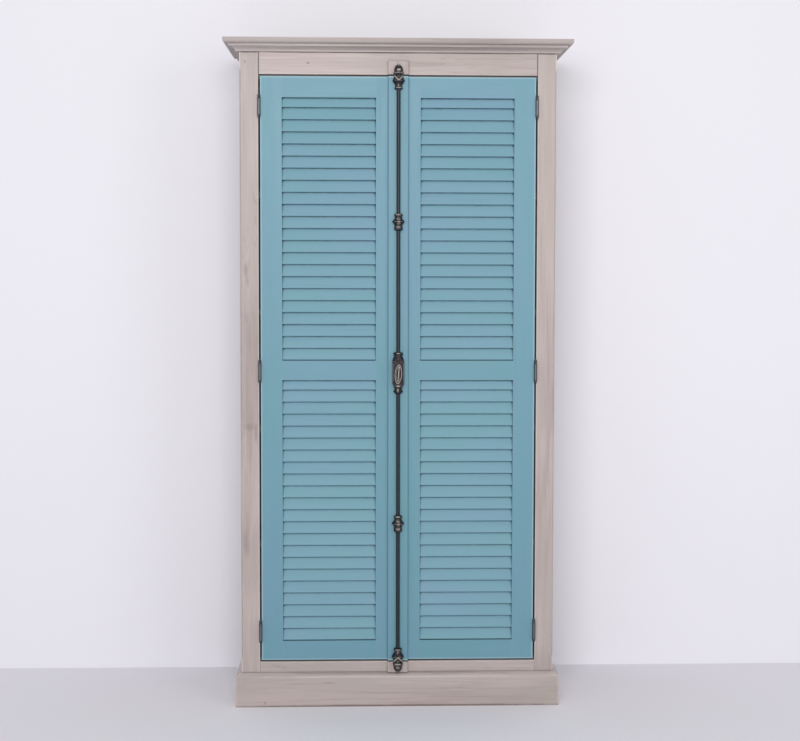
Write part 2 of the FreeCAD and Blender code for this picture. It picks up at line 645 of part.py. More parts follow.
def gear_case(screws):
    """Cast box for the pinion and racks, open behind, tapered at its foot, with a turned neck
    above and below."""
    right = [(CASE_HALF_WIDTH, CASE_TOP), (CASE_HALF_WIDTH, CASE_SHOULDER),
             (CASE_TAPER_HALF_WIDTH, CASE_FOOT)]
    outline = right + [(-x, z) for x, z in reversed(right)]
    body = prism([(x, CASE_FACE, z) for x, z in outline], INWARD * CASE_DEPTH)
    body = eased(body, CASE_ROUND, lambda c: near(c.y, CASE_FACE))
    necks = [case_neck(NECK_UP_OUTLINE, NECK_UP, CASE_TOP, 1),
             case_neck(NECK_DOWN_OUTLINE, NECK_DOWN, CASE_FOOT, -1)]
    boss = stud(0, CASE_CENTRE, (BOSS_FACE, CASE_FACE), CASE_BOSS_RADIUS)
    hollow = block((-CASE_HOLLOW_HALF_WIDTH, CASE_HOLLOW_HALF_WIDTH),
                   (CASE_FACE + CASE_FRONT_WALL, STRIP_FACE),
                   (CASE_CENTRE - CASE_HOLLOW_HALF_HEIGHT, CASE_CENTRE + CASE_HOLLOW_HALF_HEIGHT))
    bearing = stud(0, CASE_CENTRE, (BOSS_FACE, STRIP_FACE), SPINDLE_RADIUS + RUNNING_CLEAR)
    bore = rod_hole((CASE_FOOT - NECK_DOWN - OVERCUT, CASE_TOP + NECK_UP + OVERCUT))
    return body.fuse(necks + [boss]).cut([hollow, bearing, bore] + screws).removeSplitter()


def cover_strip(screws):
    """Strip over the meeting stiles, fixed to the right leaf and just clear of the left one."""
    half = STRIP_WIDTH / 2
    shape = eased(block((-half, half), (STRIP_FACE, FACE), (DOOR_BOTTOM, DOOR_TOP)), STRIP_ROUND,
                  lambda c: near(c.y, STRIP_FACE) and not near(c.x, 0))
    relief = block((-half, DOOR_INNER), (FACE - STRIP_CLEAR, FACE), (DOOR_BOTTOM, DOOR_TOP))
    return shape.cut([relief] + screws)


def pinion():
    """Involute pinion cut for the two racks, a tooth space facing each of them."""
    base = PITCH_RADIUS * math.cos(math.radians(PRESSURE_ANGLE))
    half_tooth = (math.pi * MODULE / 2 - TOOTH_BACKLASH) / (2 * PITCH_RADIUS)

    def involute(radius):
        angle = math.acos(min(1.0, base / radius))
        return math.tan(angle) - angle

    def half_angle(radius):
        return half_tooth + involute(PITCH_RADIUS) - involute(max(radius, base))

    root = PITCH_RADIUS - TOOTH_DEDENDUM
    tip = PITCH_RADIUS + TOOTH_ADDENDUM
    flank = [root, base] + [base + (tip - base) * step / 4 for step in range(1, 5)]
    points = []
    for tooth in range(TOOTH_COUNT):
        centre = 2 * math.pi * (tooth + 0.5) / TOOTH_COUNT
        rising = [(radius, centre - half_angle(radius)) for radius in flank]
        falling = [(radius, centre + half_angle(radius)) for radius in reversed(flank)]
        points += [(radius * math.cos(a), ROD_Y - GEAR_THICK / 2,
                    CASE_CENTRE + radius * math.sin(a)) for radius, a in rising + falling]
    wheel = prism(points, INWARD * GEAR_THICK)
    hole = stud(0, CASE_CENTRE, (CASE_FACE, STRIP_FACE), SPINDLE_RADIUS)
    return wheel.cut(hole)


def rack_outline():
    """Rack to the left of the pinion, a tooth level with the pinion's centre."""
    pitch = math.pi * MODULE
    slope = math.tan(math.radians(PRESSURE_ANGLE))
    half_tooth = (pitch / 2 - TOOTH_BACKLASH) / 2
    crest = half_tooth - TOOTH_ADDENDUM * slope
    foot = half_tooth + TOOTH_DEDENDUM * slope
    tip_x = -PITCH_RADIUS + TOOTH_ADDENDUM
    root_x = -PITCH_RADIUS - TOOTH_DEDENDUM
    first = -int((RACK_TAIL - foot) / pitch)
    last = int((ROD_FOOT - foot) / pitch)
    points = [(-RACK_BACK, ROD_FOOT), (-RACK_BACK, -RACK_TAIL), (root_x, -RACK_TAIL)]
    for tooth in range(first, last + 1):
        z = tooth * pitch
        points += [(root_x, z - foot), (tip_x, z - crest), (tip_x, z + crest), (root_x, z + foot)]
    return points + [(root_x, ROD_FOOT)]


def rod(length):
    """Upper rod: bar, foot and rack in one piece; the length is from the pinion's centre."""
    bar = post(0, ROD_Y, (CASE_CENTRE + ROD_FOOT, CASE_CENTRE + length), ROD_RADIUS)
    bar = bar.makeChamfer(ROD_CHAMFER, [edge for edge in bar.Edges
                                        if near(edge.CenterOfMass.z, CASE_CENTRE + length)])
    flat = block((ROD_FLAT, 2 * ROD_RADIUS), (ROD_Y - ROD_RADIUS, ROD_Y + ROD_RADIUS),
                 (CASE_CENTRE, CASE_CENTRE + ROD_FLAT_TOP))
    depth = (ROD_Y - GEAR_THICK / 2, ROD_Y + GEAR_THICK / 2)
    foot = block((-RACK_BACK, ROD_FLAT), depth,
                 (CASE_CENTRE + ROD_FOOT, CASE_CENTRE + ROD_FOOT + ROD_FOOT_THICK))
    rack = prism([(x, depth[0], CASE_CENTRE + z) for x, z in rack_outline()],
                 INWARD * GEAR_THICK)
    return bar.cut(flat).fuse([foot, rack]).removeSplitter()


def half_turned(shape):
    """The same shape turned half way round the pinion's axis."""
    turned_shape = shape.copy()
    turned_shape.rotate(FreeCAD.Vector(0, 0, CASE_CENTRE), INWARD, 180)
    return turned_shape


def oval(half_width, half_height, y_span):
    """Upright elliptical plate centred on the spindle."""
    ellipse = Part.Ellipse(ORIGIN, half_height, half_width)
    face = Part.Face(Part.Wire(ellipse.toShape()))
    face.rotate(ORIGIN, INWARD, 90)
    face.rotate(ORIGIN, UP, 90)
    face.rotate(ORIGIN, INWARD, KNOB_TILT)
    face.translate(FreeCAD.Vector(0, y_span[0], CASE_CENTRE))
    return face.extrude(INWARD * (y_span[1] - y_span[0]))


def knob():
    """Oval turn, leaning a little, with a raised rim and a raised rib down its middle."""
    plate = oval(KNOB_HALF_WIDTH, KNOB_HALF_HEIGHT, (KNOB_PLATE_FRONT, KNOB_PLATE_BACK))
    plate = plate.makeFillet(KNOB_EASE, [edge for edge in plate.Edges
                                         if near(edge.CenterOfMass.y, KNOB_PLATE_BACK)])
    rim_front = KNOB_PLATE_FRONT - KNOB_RIM_RAISE
    rim = oval(KNOB_HALF_WIDTH, KNOB_HALF_HEIGHT, (rim_front, KNOB_PLATE_FRONT))
    rim = rim.cut(oval(KNOB_HALF_WIDTH - KNOB_RIM, KNOB_HALF_HEIGHT - KNOB_RIM,
                       (rim_front, KNOB_PLATE_FRONT)))
    rib = oval(KNOB_RIB_HALF_WIDTH, KNOB_RIB_HALF_HEIGHT,
               (KNOB_PLATE_FRONT - KNOB_RIB_RAISE, KNOB_PLATE_FRONT))
    stem = stud(0, CASE_CENTRE, (KNOB_PLATE_BACK, KNOB_BACK), KNOB_STEM_RADIUS)
    socket = stud(0, CASE_CENTRE, (KNOB_BACK - SPINDLE_BITE, KNOB_BACK), SPINDLE_RADIUS)
    return plate.fuse([rim, rib, stem]).cut(socket).removeSplitter()


def bolt_nodes():
    screws = case_screws()
    upper = rod(DOOR_TOP - ROD_END_CLEAR - CASE_CENTRE)
    lower = half_turned(rod(CASE_CENTRE - DOOR_BOTTOM - ROD_END_CLEAR))
    spindle = stud(0, CASE_CENTRE, (KNOB_BACK - SPINDLE_BITE, STRIP_FACE - SPINDLE_CLEAR),
                   SPINDLE_RADIUS)
    return {
        "cover_strip": cover_strip(screws),
        "gear_case": gear_case(screws),
        "gear_case_screws": group(screws),
        "guide_top": end_guide(DOOR_TOP, 1),
        "guide_bottom": end_guide(DOOR_BOTTOM, -1),
        "knuckle_guides": group(knuckle_guide(centre) for centre in KNUCKLE_CENTRES),
        "knob": knob(),
        "spindle": spindle,
        "pinion": pinion(),
        "upper_rod": upper,
        "lower_rod": lower,
    }


def main():
    right = door_nodes()
    nodes = carcase()
    nodes.update({f"right_{name}": shape for name, shape in right.items()})
    nodes.update({f"left_{name}": mirrored(shape) for name, shape in right.items()})
    nodes.update(bolt_nodes())
    os.makedirs("parts", exist_ok=True)
    for name, shape in nodes.items():
        if not shape.isValid():
            raise ValueError(f"{name} isn't a valid shape")
        shape.exportStep(f"parts/{name}.step")


main()
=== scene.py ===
"""Dresses the louvred door cabinet: whitewashed pine, dusty teal paint, aged bronze castings
and blackened steel, in a plain pale studio."""

import logging
import math
from dataclasses import dataclass, field
from enum import Enum
from typing import Callable

import bpy
from mathutils import Matrix, Vector


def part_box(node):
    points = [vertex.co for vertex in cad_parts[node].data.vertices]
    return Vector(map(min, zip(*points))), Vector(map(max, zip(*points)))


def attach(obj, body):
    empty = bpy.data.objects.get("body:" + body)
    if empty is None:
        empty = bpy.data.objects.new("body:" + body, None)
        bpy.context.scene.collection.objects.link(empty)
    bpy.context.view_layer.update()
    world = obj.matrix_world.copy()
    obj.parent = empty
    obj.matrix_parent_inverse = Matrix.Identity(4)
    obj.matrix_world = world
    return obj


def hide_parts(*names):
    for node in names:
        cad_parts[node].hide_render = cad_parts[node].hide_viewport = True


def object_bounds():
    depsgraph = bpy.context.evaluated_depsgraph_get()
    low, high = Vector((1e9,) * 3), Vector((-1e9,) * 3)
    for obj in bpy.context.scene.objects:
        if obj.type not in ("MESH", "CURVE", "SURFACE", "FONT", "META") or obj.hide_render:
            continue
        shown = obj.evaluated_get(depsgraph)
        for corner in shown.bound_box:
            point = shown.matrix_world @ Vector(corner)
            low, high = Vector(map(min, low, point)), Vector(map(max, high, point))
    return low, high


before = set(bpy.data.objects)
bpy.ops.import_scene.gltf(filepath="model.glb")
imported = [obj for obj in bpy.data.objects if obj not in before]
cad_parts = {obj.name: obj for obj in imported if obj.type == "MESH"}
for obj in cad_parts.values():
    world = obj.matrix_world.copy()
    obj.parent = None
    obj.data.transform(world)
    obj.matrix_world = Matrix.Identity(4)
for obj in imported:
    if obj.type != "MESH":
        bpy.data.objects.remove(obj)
CAD_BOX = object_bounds()

LOG = logging.getLogger("cabinet")

Rgba = tuple[float, float, float, float]
MM = 0.001


def tone(red: int, green: int, blue: int) -> Rgba:
    """Turn a display colour into the linear colour that a shader socket takes.

    Args:
        red: Red from 0 to 255.
        green: Green from 0 to 255.
        blue: Blue from 0 to 255.

    Returns:
        Linear red, green and blue, and an alpha of one.
    """
    def linear(part: int) -> float:
        """Undo the display curve of one channel."""
        share = part / 255
        return share / 12.92 if share <= 0.04045 else ((share + 0.055) / 1.055) ** 2.4

    return linear(red), linear(green), linear(blue), 1.0


# ------------------------------------------------------------------ shader building
class Way(Enum):
    """Direction of a board's grain, as the order of its coordinates with the grain first."""

    UPRIGHT = ("Z", "X", "Y")
    ACROSS = ("X", "Z", "Y")
    INWARD = ("Y", "Z", "X")


class Tree:
    """Short forms for adding and joining shader nodes."""

    def __init__(self, tree: bpy.types.NodeTree) -> None:
        """Keep the node tree that is built."""
        self.tree = tree

    def add(self, kind: str, values: dict | None = None, **settings: object) -> bpy.types.Node:
        """Add a node.

        Args:
            kind: Blender's name for the node's class.
            values: Sockets or plain values for its inputs, by input name or number.
            **settings: Properties of the node itself.

        Returns:
            The new node.
        """
        node = self.tree.nodes.new(kind)
        for name, value in settings.items():
            setattr(node, name, value)
        for name, value in (values or {}).items():
            self.join(value, node.inputs[name])
        return node

    def join(self, value: object, socket: bpy.types.NodeSocket) -> None:
        """Link a socket, or set a plain value, on an input.

        Args:
            value: The output socket or plain value.
            socket: The input that takes it.
        """
        if isinstance(value, bpy.types.NodeSocket):
            self.tree.links.new(value, socket)
        else:
            socket.default_value = value

    def math(self, operation: str, first: object, second: object = 0.0) -> bpy.types.NodeSocket:
        """Combine two numbers with a Math node and return its output."""
        node = self.add("ShaderNodeMath", {0: first, 1: second}, operation=operation)
        return node.outputs[0]

    def times(self, first: object, second: object) -> bpy.types.NodeSocket:
        """Multiply two numbers and return the product."""
        return self.math("MULTIPLY", first, second)

    def parts(self, vector: object) -> bpy.types.NodeOutputs:
        """Split a vector and return its three parts."""
        return self.add("ShaderNodeSeparateXYZ", {0: vector}).outputs

    def span(self, value: object, low: object, high: object, start: float = 0.0,
             end: float = 1.0) -> bpy.types.NodeSocket:
        """Map a value smoothly from one range to another.

        Args:
            value: The socket to map.
            low: Value, or socket, that gives the start.
            high: Value, or socket, that gives the end.
            start: Result at the low end.
            end: Result at the high end.

        Returns:
            The mapped value.
        """
        node = self.add("ShaderNodeMapRange", {"Value": value, "From Min": low, "From Max": high,
                                               "To Min": start, "To Max": end},
                        interpolation_type="SMOOTHSTEP")
        return node.outputs["Result"]

    def blend(self, share: object, first: object, second: object) -> bpy.types.NodeSocket:
        """Mix two colours.

        Args:
            share: Share of the second colour, from 0 to 1.
            first: First colour.
            second: Second colour.

        Returns:
            The mixed colour.
        """
        node = self.add("ShaderNodeMix", {0: share, 6: first, 7: second}, data_type="RGBA")
        return node.outputs[2]

    def stretch(self, vector: object, scale: tuple[float, float, float],
                shift: tuple[float, float, float] = (0.0, 0.0, 0.0)) -> bpy.types.NodeSocket:
        """Scale and shift a vector.

        Args:
            vector: The vector.
            scale: Scale of each part.
            shift: What is added to each part afterwards.

        Returns:
            The new vector.
        """
        node = self.add("ShaderNodeMapping", {"Vector": vector, "Scale": scale,
                                              "Location": shift})
        return node.outputs[0]

    def noise(self, vector: object, scale: float, detail: float = 2.0, rough: float = 0.5,
              distortion: float = 0.0) -> bpy.types.NodeSocket:
        """Add a noise texture.

        Args:
            vector: Where the noise is read.
            scale: Its scale.
            detail: Number of finer layers.
            rough: How strong the finer layers are.
            distortion: How much it is warped.

        Returns:
            The noise, from 0 to 1.
        """
        node = self.add("ShaderNodeTexNoise", {"Vector": vector, "Scale": scale,
                                               "Detail": detail, "Roughness": rough,
                                               "Distortion": distortion})
        return node.outputs[0]

    def openness(self, reach: float, inside: bool) -> bpy.types.NodeSocket:
        """How open the surface is: one on a flat face, less in a corner or on an edge.

        Args:
            reach: Length of the rays, in metres.
            inside: Send the rays into the piece, which finds its edges, or out of it,
                which finds its corners.

        Returns:
            The openness, from 0 to 1.
        """
        node = self.add("ShaderNodeAmbientOcclusion", {"Distance": reach}, inside=inside,
                        only_local=inside, samples=8)
        return node.outputs["AO"]


class ShaderGroup:
    """A node group with named inputs and outputs, built once and shared by the finishes."""

    name = "group"
    inputs: dict[str, object] = {}
    outputs: tuple[str, ...] = ()

    def __init__(self) -> None:
        """Make the group's sockets and build its inside."""
        self.group = bpy.data.node_groups.new(self.name, "ShaderNodeTree")
        for label, default in self.inputs.items():
            kind = "NodeSocketVector" if default is None else "NodeSocketFloat"
            socket = self.group.interface.new_socket(name=label, in_out="INPUT",
                                                     socket_type=kind)
            if default is not None:
                socket.default_value = default
        for label in self.outputs:
            self.group.interface.new_socket(name=label, in_out="OUTPUT",
                                            socket_type="NodeSocketFloat")
        tree = Tree(self.group)
        given = tree.add("NodeGroupInput").outputs
        made = self.build(tree, given)
        tree.add("NodeGroupOutput", made)

    def build(self, tree: Tree, given: bpy.types.NodeOutputs) -> dict[str, object]:
        """Build the inside of the group.

        Args:
            tree: The group's own tree.
            given: The group's input sockets.

        Returns:
            The socket for each output, by name.
        """
        raise NotImplementedError

    def place(self, tree: Tree, values: dict[str, object]) -> bpy.types.NodeOutputs:
        """Put the group in a material.

        Args:
            tree: The material's tree.
            values: Sockets or plain values for the group's inputs, by name.

        Returns:
            The group's outputs.
        """
        node = tree.add("ShaderNodeGroup", None, node_tree=self.group)
        for name, value in values.items():
            tree.join(value, node.inputs[name])
        return node.outputs


class GrainGroup(ShaderGroup):
    """Softwood grain along the first coordinate: streaks, fibres, scuffs and small knots."""

    name = "softwood_grain"
    inputs = {"Vector": None, "Streaks": 1.0, "Fibres": 1.0, "Knots": 1.0, "Scuffs": 1.0}
    outputs = ("Tone", "Dark", "Height")
    streak_scale = (1.1, 17.0, 17.0)
    fine_scale = (5.0, 150.0, 150.0)
    fibre_scale = (22.0, 900.0, 900.0)
    knot_scale = (1.6, 5.0, 5.0)
    scuff_zone_scale = (1.7, 6.0, 6.0)
    scratch_scale = (20.0, 75.0, 75.0)
    knot_shift = (0.37, 0.11, 0.0)
    scuff_zone_shift = (4.1, 0.0, 2.3)
    knot_choice = (0.52, 0.56)
    knot_rim = (0.045, 0.012)
    scuff_zone_rim = (0.56, 0.70)
    scratch_rim = (0.54, 0.66)
    fine_share = 0.6
    fibre_share = 0.4
    dent_share = 0.8

    def build(self, tree: Tree, given: bpy.types.NodeOutputs) -> dict[str, object]:
        """Build the streaks, fibres, knots and scuffs.

        Args:
            tree: The group's own tree.
            given: The group's input sockets.

        Returns:
            The socket for each output, by name.
        """
        vector = given["Vector"]
        broad = tree.noise(tree.stretch(vector, self.streak_scale), 1.0, 4.0, 0.55, 0.7)
        fine = tree.noise(tree.stretch(vector, self.fine_scale), 1.0, 3.0, 0.6, 0.2)
        fibre = tree.noise(tree.stretch(vector, self.fibre_scale), 1.0, 2.0, 0.5)
        centred = tree.times(tree.math("SUBTRACT", broad, 0.5), given["Streaks"])
        thin = tree.times(tree.math("SUBTRACT", fine, 0.5), given["Fibres"])
        level = tree.math("ADD", tree.math("ADD", centred, tree.times(thin, self.fine_share)),
                          0.5)
        knot_place = tree.stretch(vector, self.knot_scale, self.knot_shift)
        cells = tree.add("ShaderNodeTexVoronoi", {"Vector": knot_place, "Scale": 1.0,
                                                  "Randomness": 0.9})
        chosen = tree.add("ShaderNodeSeparateColor", {0: cells.outputs["Color"]})
        picked = tree.span(chosen.outputs[0], *self.knot_choice)
        spot = tree.span(cells.outputs["Distance"], *self.knot_rim)
        knots = tree.times(tree.times(spot, picked), given["Knots"])
        patches = tree.noise(tree.stretch(vector, self.scuff_zone_scale, self.scuff_zone_shift),
                             1.0, 2.0)
        scratches = tree.noise(tree.stretch(vector, self.scratch_scale), 1.0, 4.0, 0.6, 0.5)
        blend_mask = tree.times(tree.span(patches, *self.scuff_zone_rim),
                          tree.span(scratches, *self.scratch_rim))
        scuffs = tree.times(blend_mask, given["Scuffs"])
        dark = tree.math("MINIMUM", tree.math("ADD", knots, scuffs), 1.0)
        height = tree.math("ADD", tree.times(fine, self.fine_share),
                           tree.times(fibre, self.fibre_share))
        dented = tree.math("SUBTRACT", height, tree.times(dark, self.dent_share))
        return {"Tone": level, "Dark": dark, "Height": dented}


class EdgeGroup(ShaderGroup):
    """Masks of the sharp edges, which wear and take a painted highlight, and of the corners,
    which take painted shade.
    """

    name = "edges_and_corners"
    inputs = {"Vector": None, "Edge Openness": 1.0, "Corner Openness": 1.0, "Scale": 40.0}
    outputs = ("Edge", "Corner")
    broken_share = 0.25
    edge_rim = (0.93, 0.62)
    free_rim = (0.45, 0.65)
    corner_rim = (0.86, 0.30)

    def build(self, tree: Tree, given: bpy.types.NodeOutputs) -> dict[str, object]:
        """Build both masks, each broken up a little with noise.

        Args:
            tree: The group's own tree.
            given: The group's input sockets.

        Returns:
            The socket for each output, by name.
        """
        patch = tree.noise(given["Vector"], given["Scale"], 3.0, 0.6)
        swing = tree.times(tree.math("SUBTRACT", patch, 0.5), self.broken_share)
        sharp = tree.span(tree.math("ADD", given["Edge Openness"], swing), *self.edge_rim)
        free = tree.span(given["Corner Openness"], *self.free_rim)
        corner = tree.span(tree.math("ADD", given["Corner Openness"], swing), *self.corner_rim)
        return {"Edge": tree.times(sharp, free), "Corner": corner}


class RimGroup(ShaderGroup):
    """Mask of the outer rim of a pair of doors that mirror each other about the middle."""

    name = "door_rim"
    inputs = {"Vector": None, "Outer": 1.0, "Top": 1.0, "Bottom": 0.0, "Width": 0.002}
    outputs = ("Mask",)
    fade = (-1.0, -0.4)

    def build(self, tree: Tree, given: bpy.types.NodeOutputs) -> dict[str, object]:
        """Build the mask from the distance to the nearest side of the pair's outline.

        Args:
            tree: The group's own tree.
            given: The group's input sockets.

        Returns:
            The socket for each output, by name.
        """
        parts = tree.parts(given["Vector"])
        side = tree.math("SUBTRACT", tree.math("ABSOLUTE", parts[0]), given["Outer"])
        above = tree.math("SUBTRACT", parts[2], given["Top"])
        below = tree.math("SUBTRACT", given["Bottom"], parts[2])
        nearest = tree.math("MAXIMUM", side, tree.math("MAXIMUM", above, below))
        share = tree.math("DIVIDE", nearest, given["Width"])
        return {"Mask": tree.span(share, *self.fade)}


class SpotGroup(ShaderGroup):
    """Mask of one soft-edged oval spot on a board, such as a knot or a dark figure."""

    name = "board_spot"
    inputs = {"Vector": None, "Along": 0.0, "Across": 0.0, "Length": 0.1, "Width": 0.02,
              "Softness": 0.5, "Streaks": 0.0}
    outputs = ("Mask",)
    wave_scale = (14.0, 60.0, 60.0)
    streak_scale = (9.0, 210.0, 210.0)
    streak_rim = (0.62, 0.40)

    def build(self, tree: Tree, given: bpy.types.NodeOutputs) -> dict[str, object]:
        """Build the spot from its distance, with a wavy outline and streaks along it.

        Args:
            tree: The group's own tree.
            given: The group's input sockets.

        Returns:
            The socket for each output, by name.
        """
        parts = tree.parts(given["Vector"])
        along = tree.math("DIVIDE", tree.math("SUBTRACT", parts[0], given["Along"]),
                          given["Length"])
        across = tree.math("DIVIDE", tree.math("SUBTRACT", parts[1], given["Across"]),
                           given["Width"])
        flat = tree.add("ShaderNodeCombineXYZ", {0: along, 1: across}).outputs[0]
        away = tree.add("ShaderNodeVectorMath", {0: flat}, operation="LENGTH").outputs["Value"]
        wave = tree.noise(tree.stretch(given["Vector"], self.wave_scale), 1.0, 3.0, 0.6)
        bent = tree.math("ADD", away, tree.math("SUBTRACT", wave, 0.5))
        inner = tree.math("SUBTRACT", 1.0, given["Softness"])
        spot = tree.span(bent, 1.0, inner)
        lines = tree.noise(tree.stretch(given["Vector"], self.streak_scale), 1.0, 3.0, 0.6)
        share = tree.times(tree.span(lines, *self.streak_rim), given["Streaks"])
        kept = tree.math("SUBTRACT", 1.0, share)
        return {"Mask": tree.times(spot, kept)}


class StrokeGroup(ShaderGroup):
    """Mask of one straight streak across the front of a piece, between two points."""

    name = "painted_streak"
    inputs = {"Vector": None, "Start X": 0.0, "Start Z": 0.0, "Step X": 0.0, "Step Z": 0.01,
              "Width": 0.002}
    outputs = ("Mask",)
    wave_scale = 420.0
    rim = (1.0, 0.35)

    def build(self, tree: Tree, given: bpy.types.NodeOutputs) -> dict[str, object]:
        """Build the streak from the distance to its middle line, with a broken outline.

        Args:
            tree: The group's own tree.
            given: The group's input sockets.

        Returns:
            The socket for each output, by name.
        """
        parts = tree.parts(given["Vector"])
        step = tree.add("ShaderNodeCombineXYZ", {0: given["Step X"], 1: given["Step Z"]})
        place = tree.add("ShaderNodeCombineXYZ",
                         {0: tree.math("SUBTRACT", parts[0], given["Start X"]),
                          1: tree.math("SUBTRACT", parts[2], given["Start Z"])}).outputs[0]
        product = tree.add("ShaderNodeVectorMath", {0: place, 1: step.outputs[0]},
                           operation="DOT_PRODUCT").outputs["Value"]
        square = tree.add("ShaderNodeVectorMath", {0: step.outputs[0], 1: step.outputs[0]},
                          operation="DOT_PRODUCT").outputs["Value"]
        share = tree.add("ShaderNodeClamp", {0: tree.math("DIVIDE", product, square)}).outputs[0]
        nearest = tree.add("ShaderNodeVectorMath", {0: step.outputs[0], "Scale": share},
                           operation="SCALE").outputs[0]
        away = tree.add("ShaderNodeVectorMath", {0: place, 1: nearest},
                        operation="DISTANCE").outputs["Value"]
        wave = tree.math("SUBTRACT", tree.noise(given["Vector"], self.wave_scale, 2.0, 0.6), 0.5)
        bent = tree.math("ADD", tree.math("DIVIDE", away, given["Width"]), wave)
        return {"Mask": tree.span(bent, *self.rim)}


class FrontGroup(ShaderGroup):
    """Mask of what faces the front, where painted highlights, painted sheen and some rubbed wear
    go.
    """

    name = "facing_front"
    inputs = {"Normal": None, "Vector": None, "Start": 0.45, "End": 1.0}
    outputs = ("Front", "Patch", "Grain")
    patch_scale = 170.0
    grain_scale = 1400.0

    def build(self, tree: Tree, given: bpy.types.NodeOutputs) -> dict[str, object]:
        """Build the mask from the object's own front-to-back axis.

        Args:
            tree: The group's own tree.
            given: The group's input sockets.

        Returns:
            The socket for each output, by name.
        """
        ahead = tree.times(tree.parts(given["Normal"])[1], -1.0)
        front = tree.span(ahead, given["Start"], given["End"])
        patch = tree.noise(given["Vector"], self.patch_scale, 3.0, 0.65)
        grain = tree.noise(given["Vector"], self.grain_scale, 2.0, 0.6)
        return {"Front": front, "Patch": patch, "Grain": grain}


# ------------------------------------------------------------------ finishes
@dataclass(frozen=True)
class Groups:
    """The shared shader groups."""

    grain: GrainGroup
    edges: EdgeGroup
    rim: RimGroup
    spot: SpotGroup
    stroke: StrokeGroup
    front: FrontGroup


@dataclass(frozen=True)
class Spot:
    """A knot, dark figure, dark joint, or line of painted shade or painted highlight on a board:
    its middle and half sizes, in metres.

    The middle is given along and across the grain. The depth is the share of the tint, and
    the streaks are the share of that which the grain's pale lines take away.
    """

    along: float
    across: float
    length: float
    width: float
    depth: float = 0.6
    softness: float = 0.6
    streaks: float = 0.0
    # A light spot is a painted highlight.
    light: bool = False


@dataclass(frozen=True)
class Stroke:
    """A painted highlight, as on rubbed metal, or a dark streak on a casting's front:
    millimetres across, and from its level.
    """

    start: tuple[float, float]
    end: tuple[float, float]
    width: float
    share: float = 0.8
    dark: bool = False


@dataclass(frozen=True)
class Finish:
    """Base of the finishes: a name, the reach of its edge wear and highlight and of its corner
    shade, and the steps that all share.
    """

    name: str
    edge_reach: float = 0.0045
    corner_reach: float = 0.014
    patch_scale: float = 40.0
    bump_strength: float = 0.35
    bump_depth: float = 0.0004

    def start(self) -> tuple[bpy.types.Material, Tree, bpy.types.Node, bpy.types.Node]:
        """Make an empty material.

        Returns:
            The material, its tree, its Principled shader and its coordinates node.
        """
        material = bpy.data.materials.new(self.name)
        material.use_nodes = True
        material.node_tree.nodes.clear()
        tree = Tree(material.node_tree)
        shader = tree.add("ShaderNodeBsdfPrincipled")
        tree.add("ShaderNodeOutputMaterial", {"Surface": shader.outputs[0]})
        coordinates = tree.add("ShaderNodeTexCoord")
        return material, tree, shader, coordinates

    def ordered(self, tree: Tree, vector: object, way: Way) -> bpy.types.NodeSocket:
        """Reorder a vector so that the grain runs along its first part.

        Args:
            tree: The material's tree.
            vector: The vector.
            way: The way of the grain.

        Returns:
            The reordered vector.
        """
        parts = tree.parts(vector)
        picked = {number: parts[letter] for number, letter in enumerate(way.value)}
        return tree.add("ShaderNodeCombineXYZ", picked).outputs[0]

    def bump(self, tree: Tree, shader: bpy.types.Node, height: object) -> None:
        """Feed a height into the shader's normal through a Bump node.

        Args:
            tree: The material's tree.
            shader: The Principled shader.
            height: Socket of the height, from 0 to 1.
        """
        node = tree.add("ShaderNodeBump", {"Height": height, "Strength": self.bump_strength,
                                           "Distance": self.bump_depth})
        tree.join(node.outputs[0], shader.inputs["Normal"])

    def edges(self, tree: Tree, vector: object, groups: Groups) -> bpy.types.NodeOutputs:
        """Place the masks of worn, highlighted edges and of corners with painted shade.

        Args:
            tree: The material's tree.
            vector: Object coordinates.
            groups: The shared groups.

        Returns:
            The masks, Edge and Corner.
        """
        return groups.edges.place(tree, {
            "Vector": vector, "Edge Openness": tree.openness(self.edge_reach, True),
            "Corner Openness": tree.openness(self.corner_reach, False),
            "Scale": self.patch_scale})


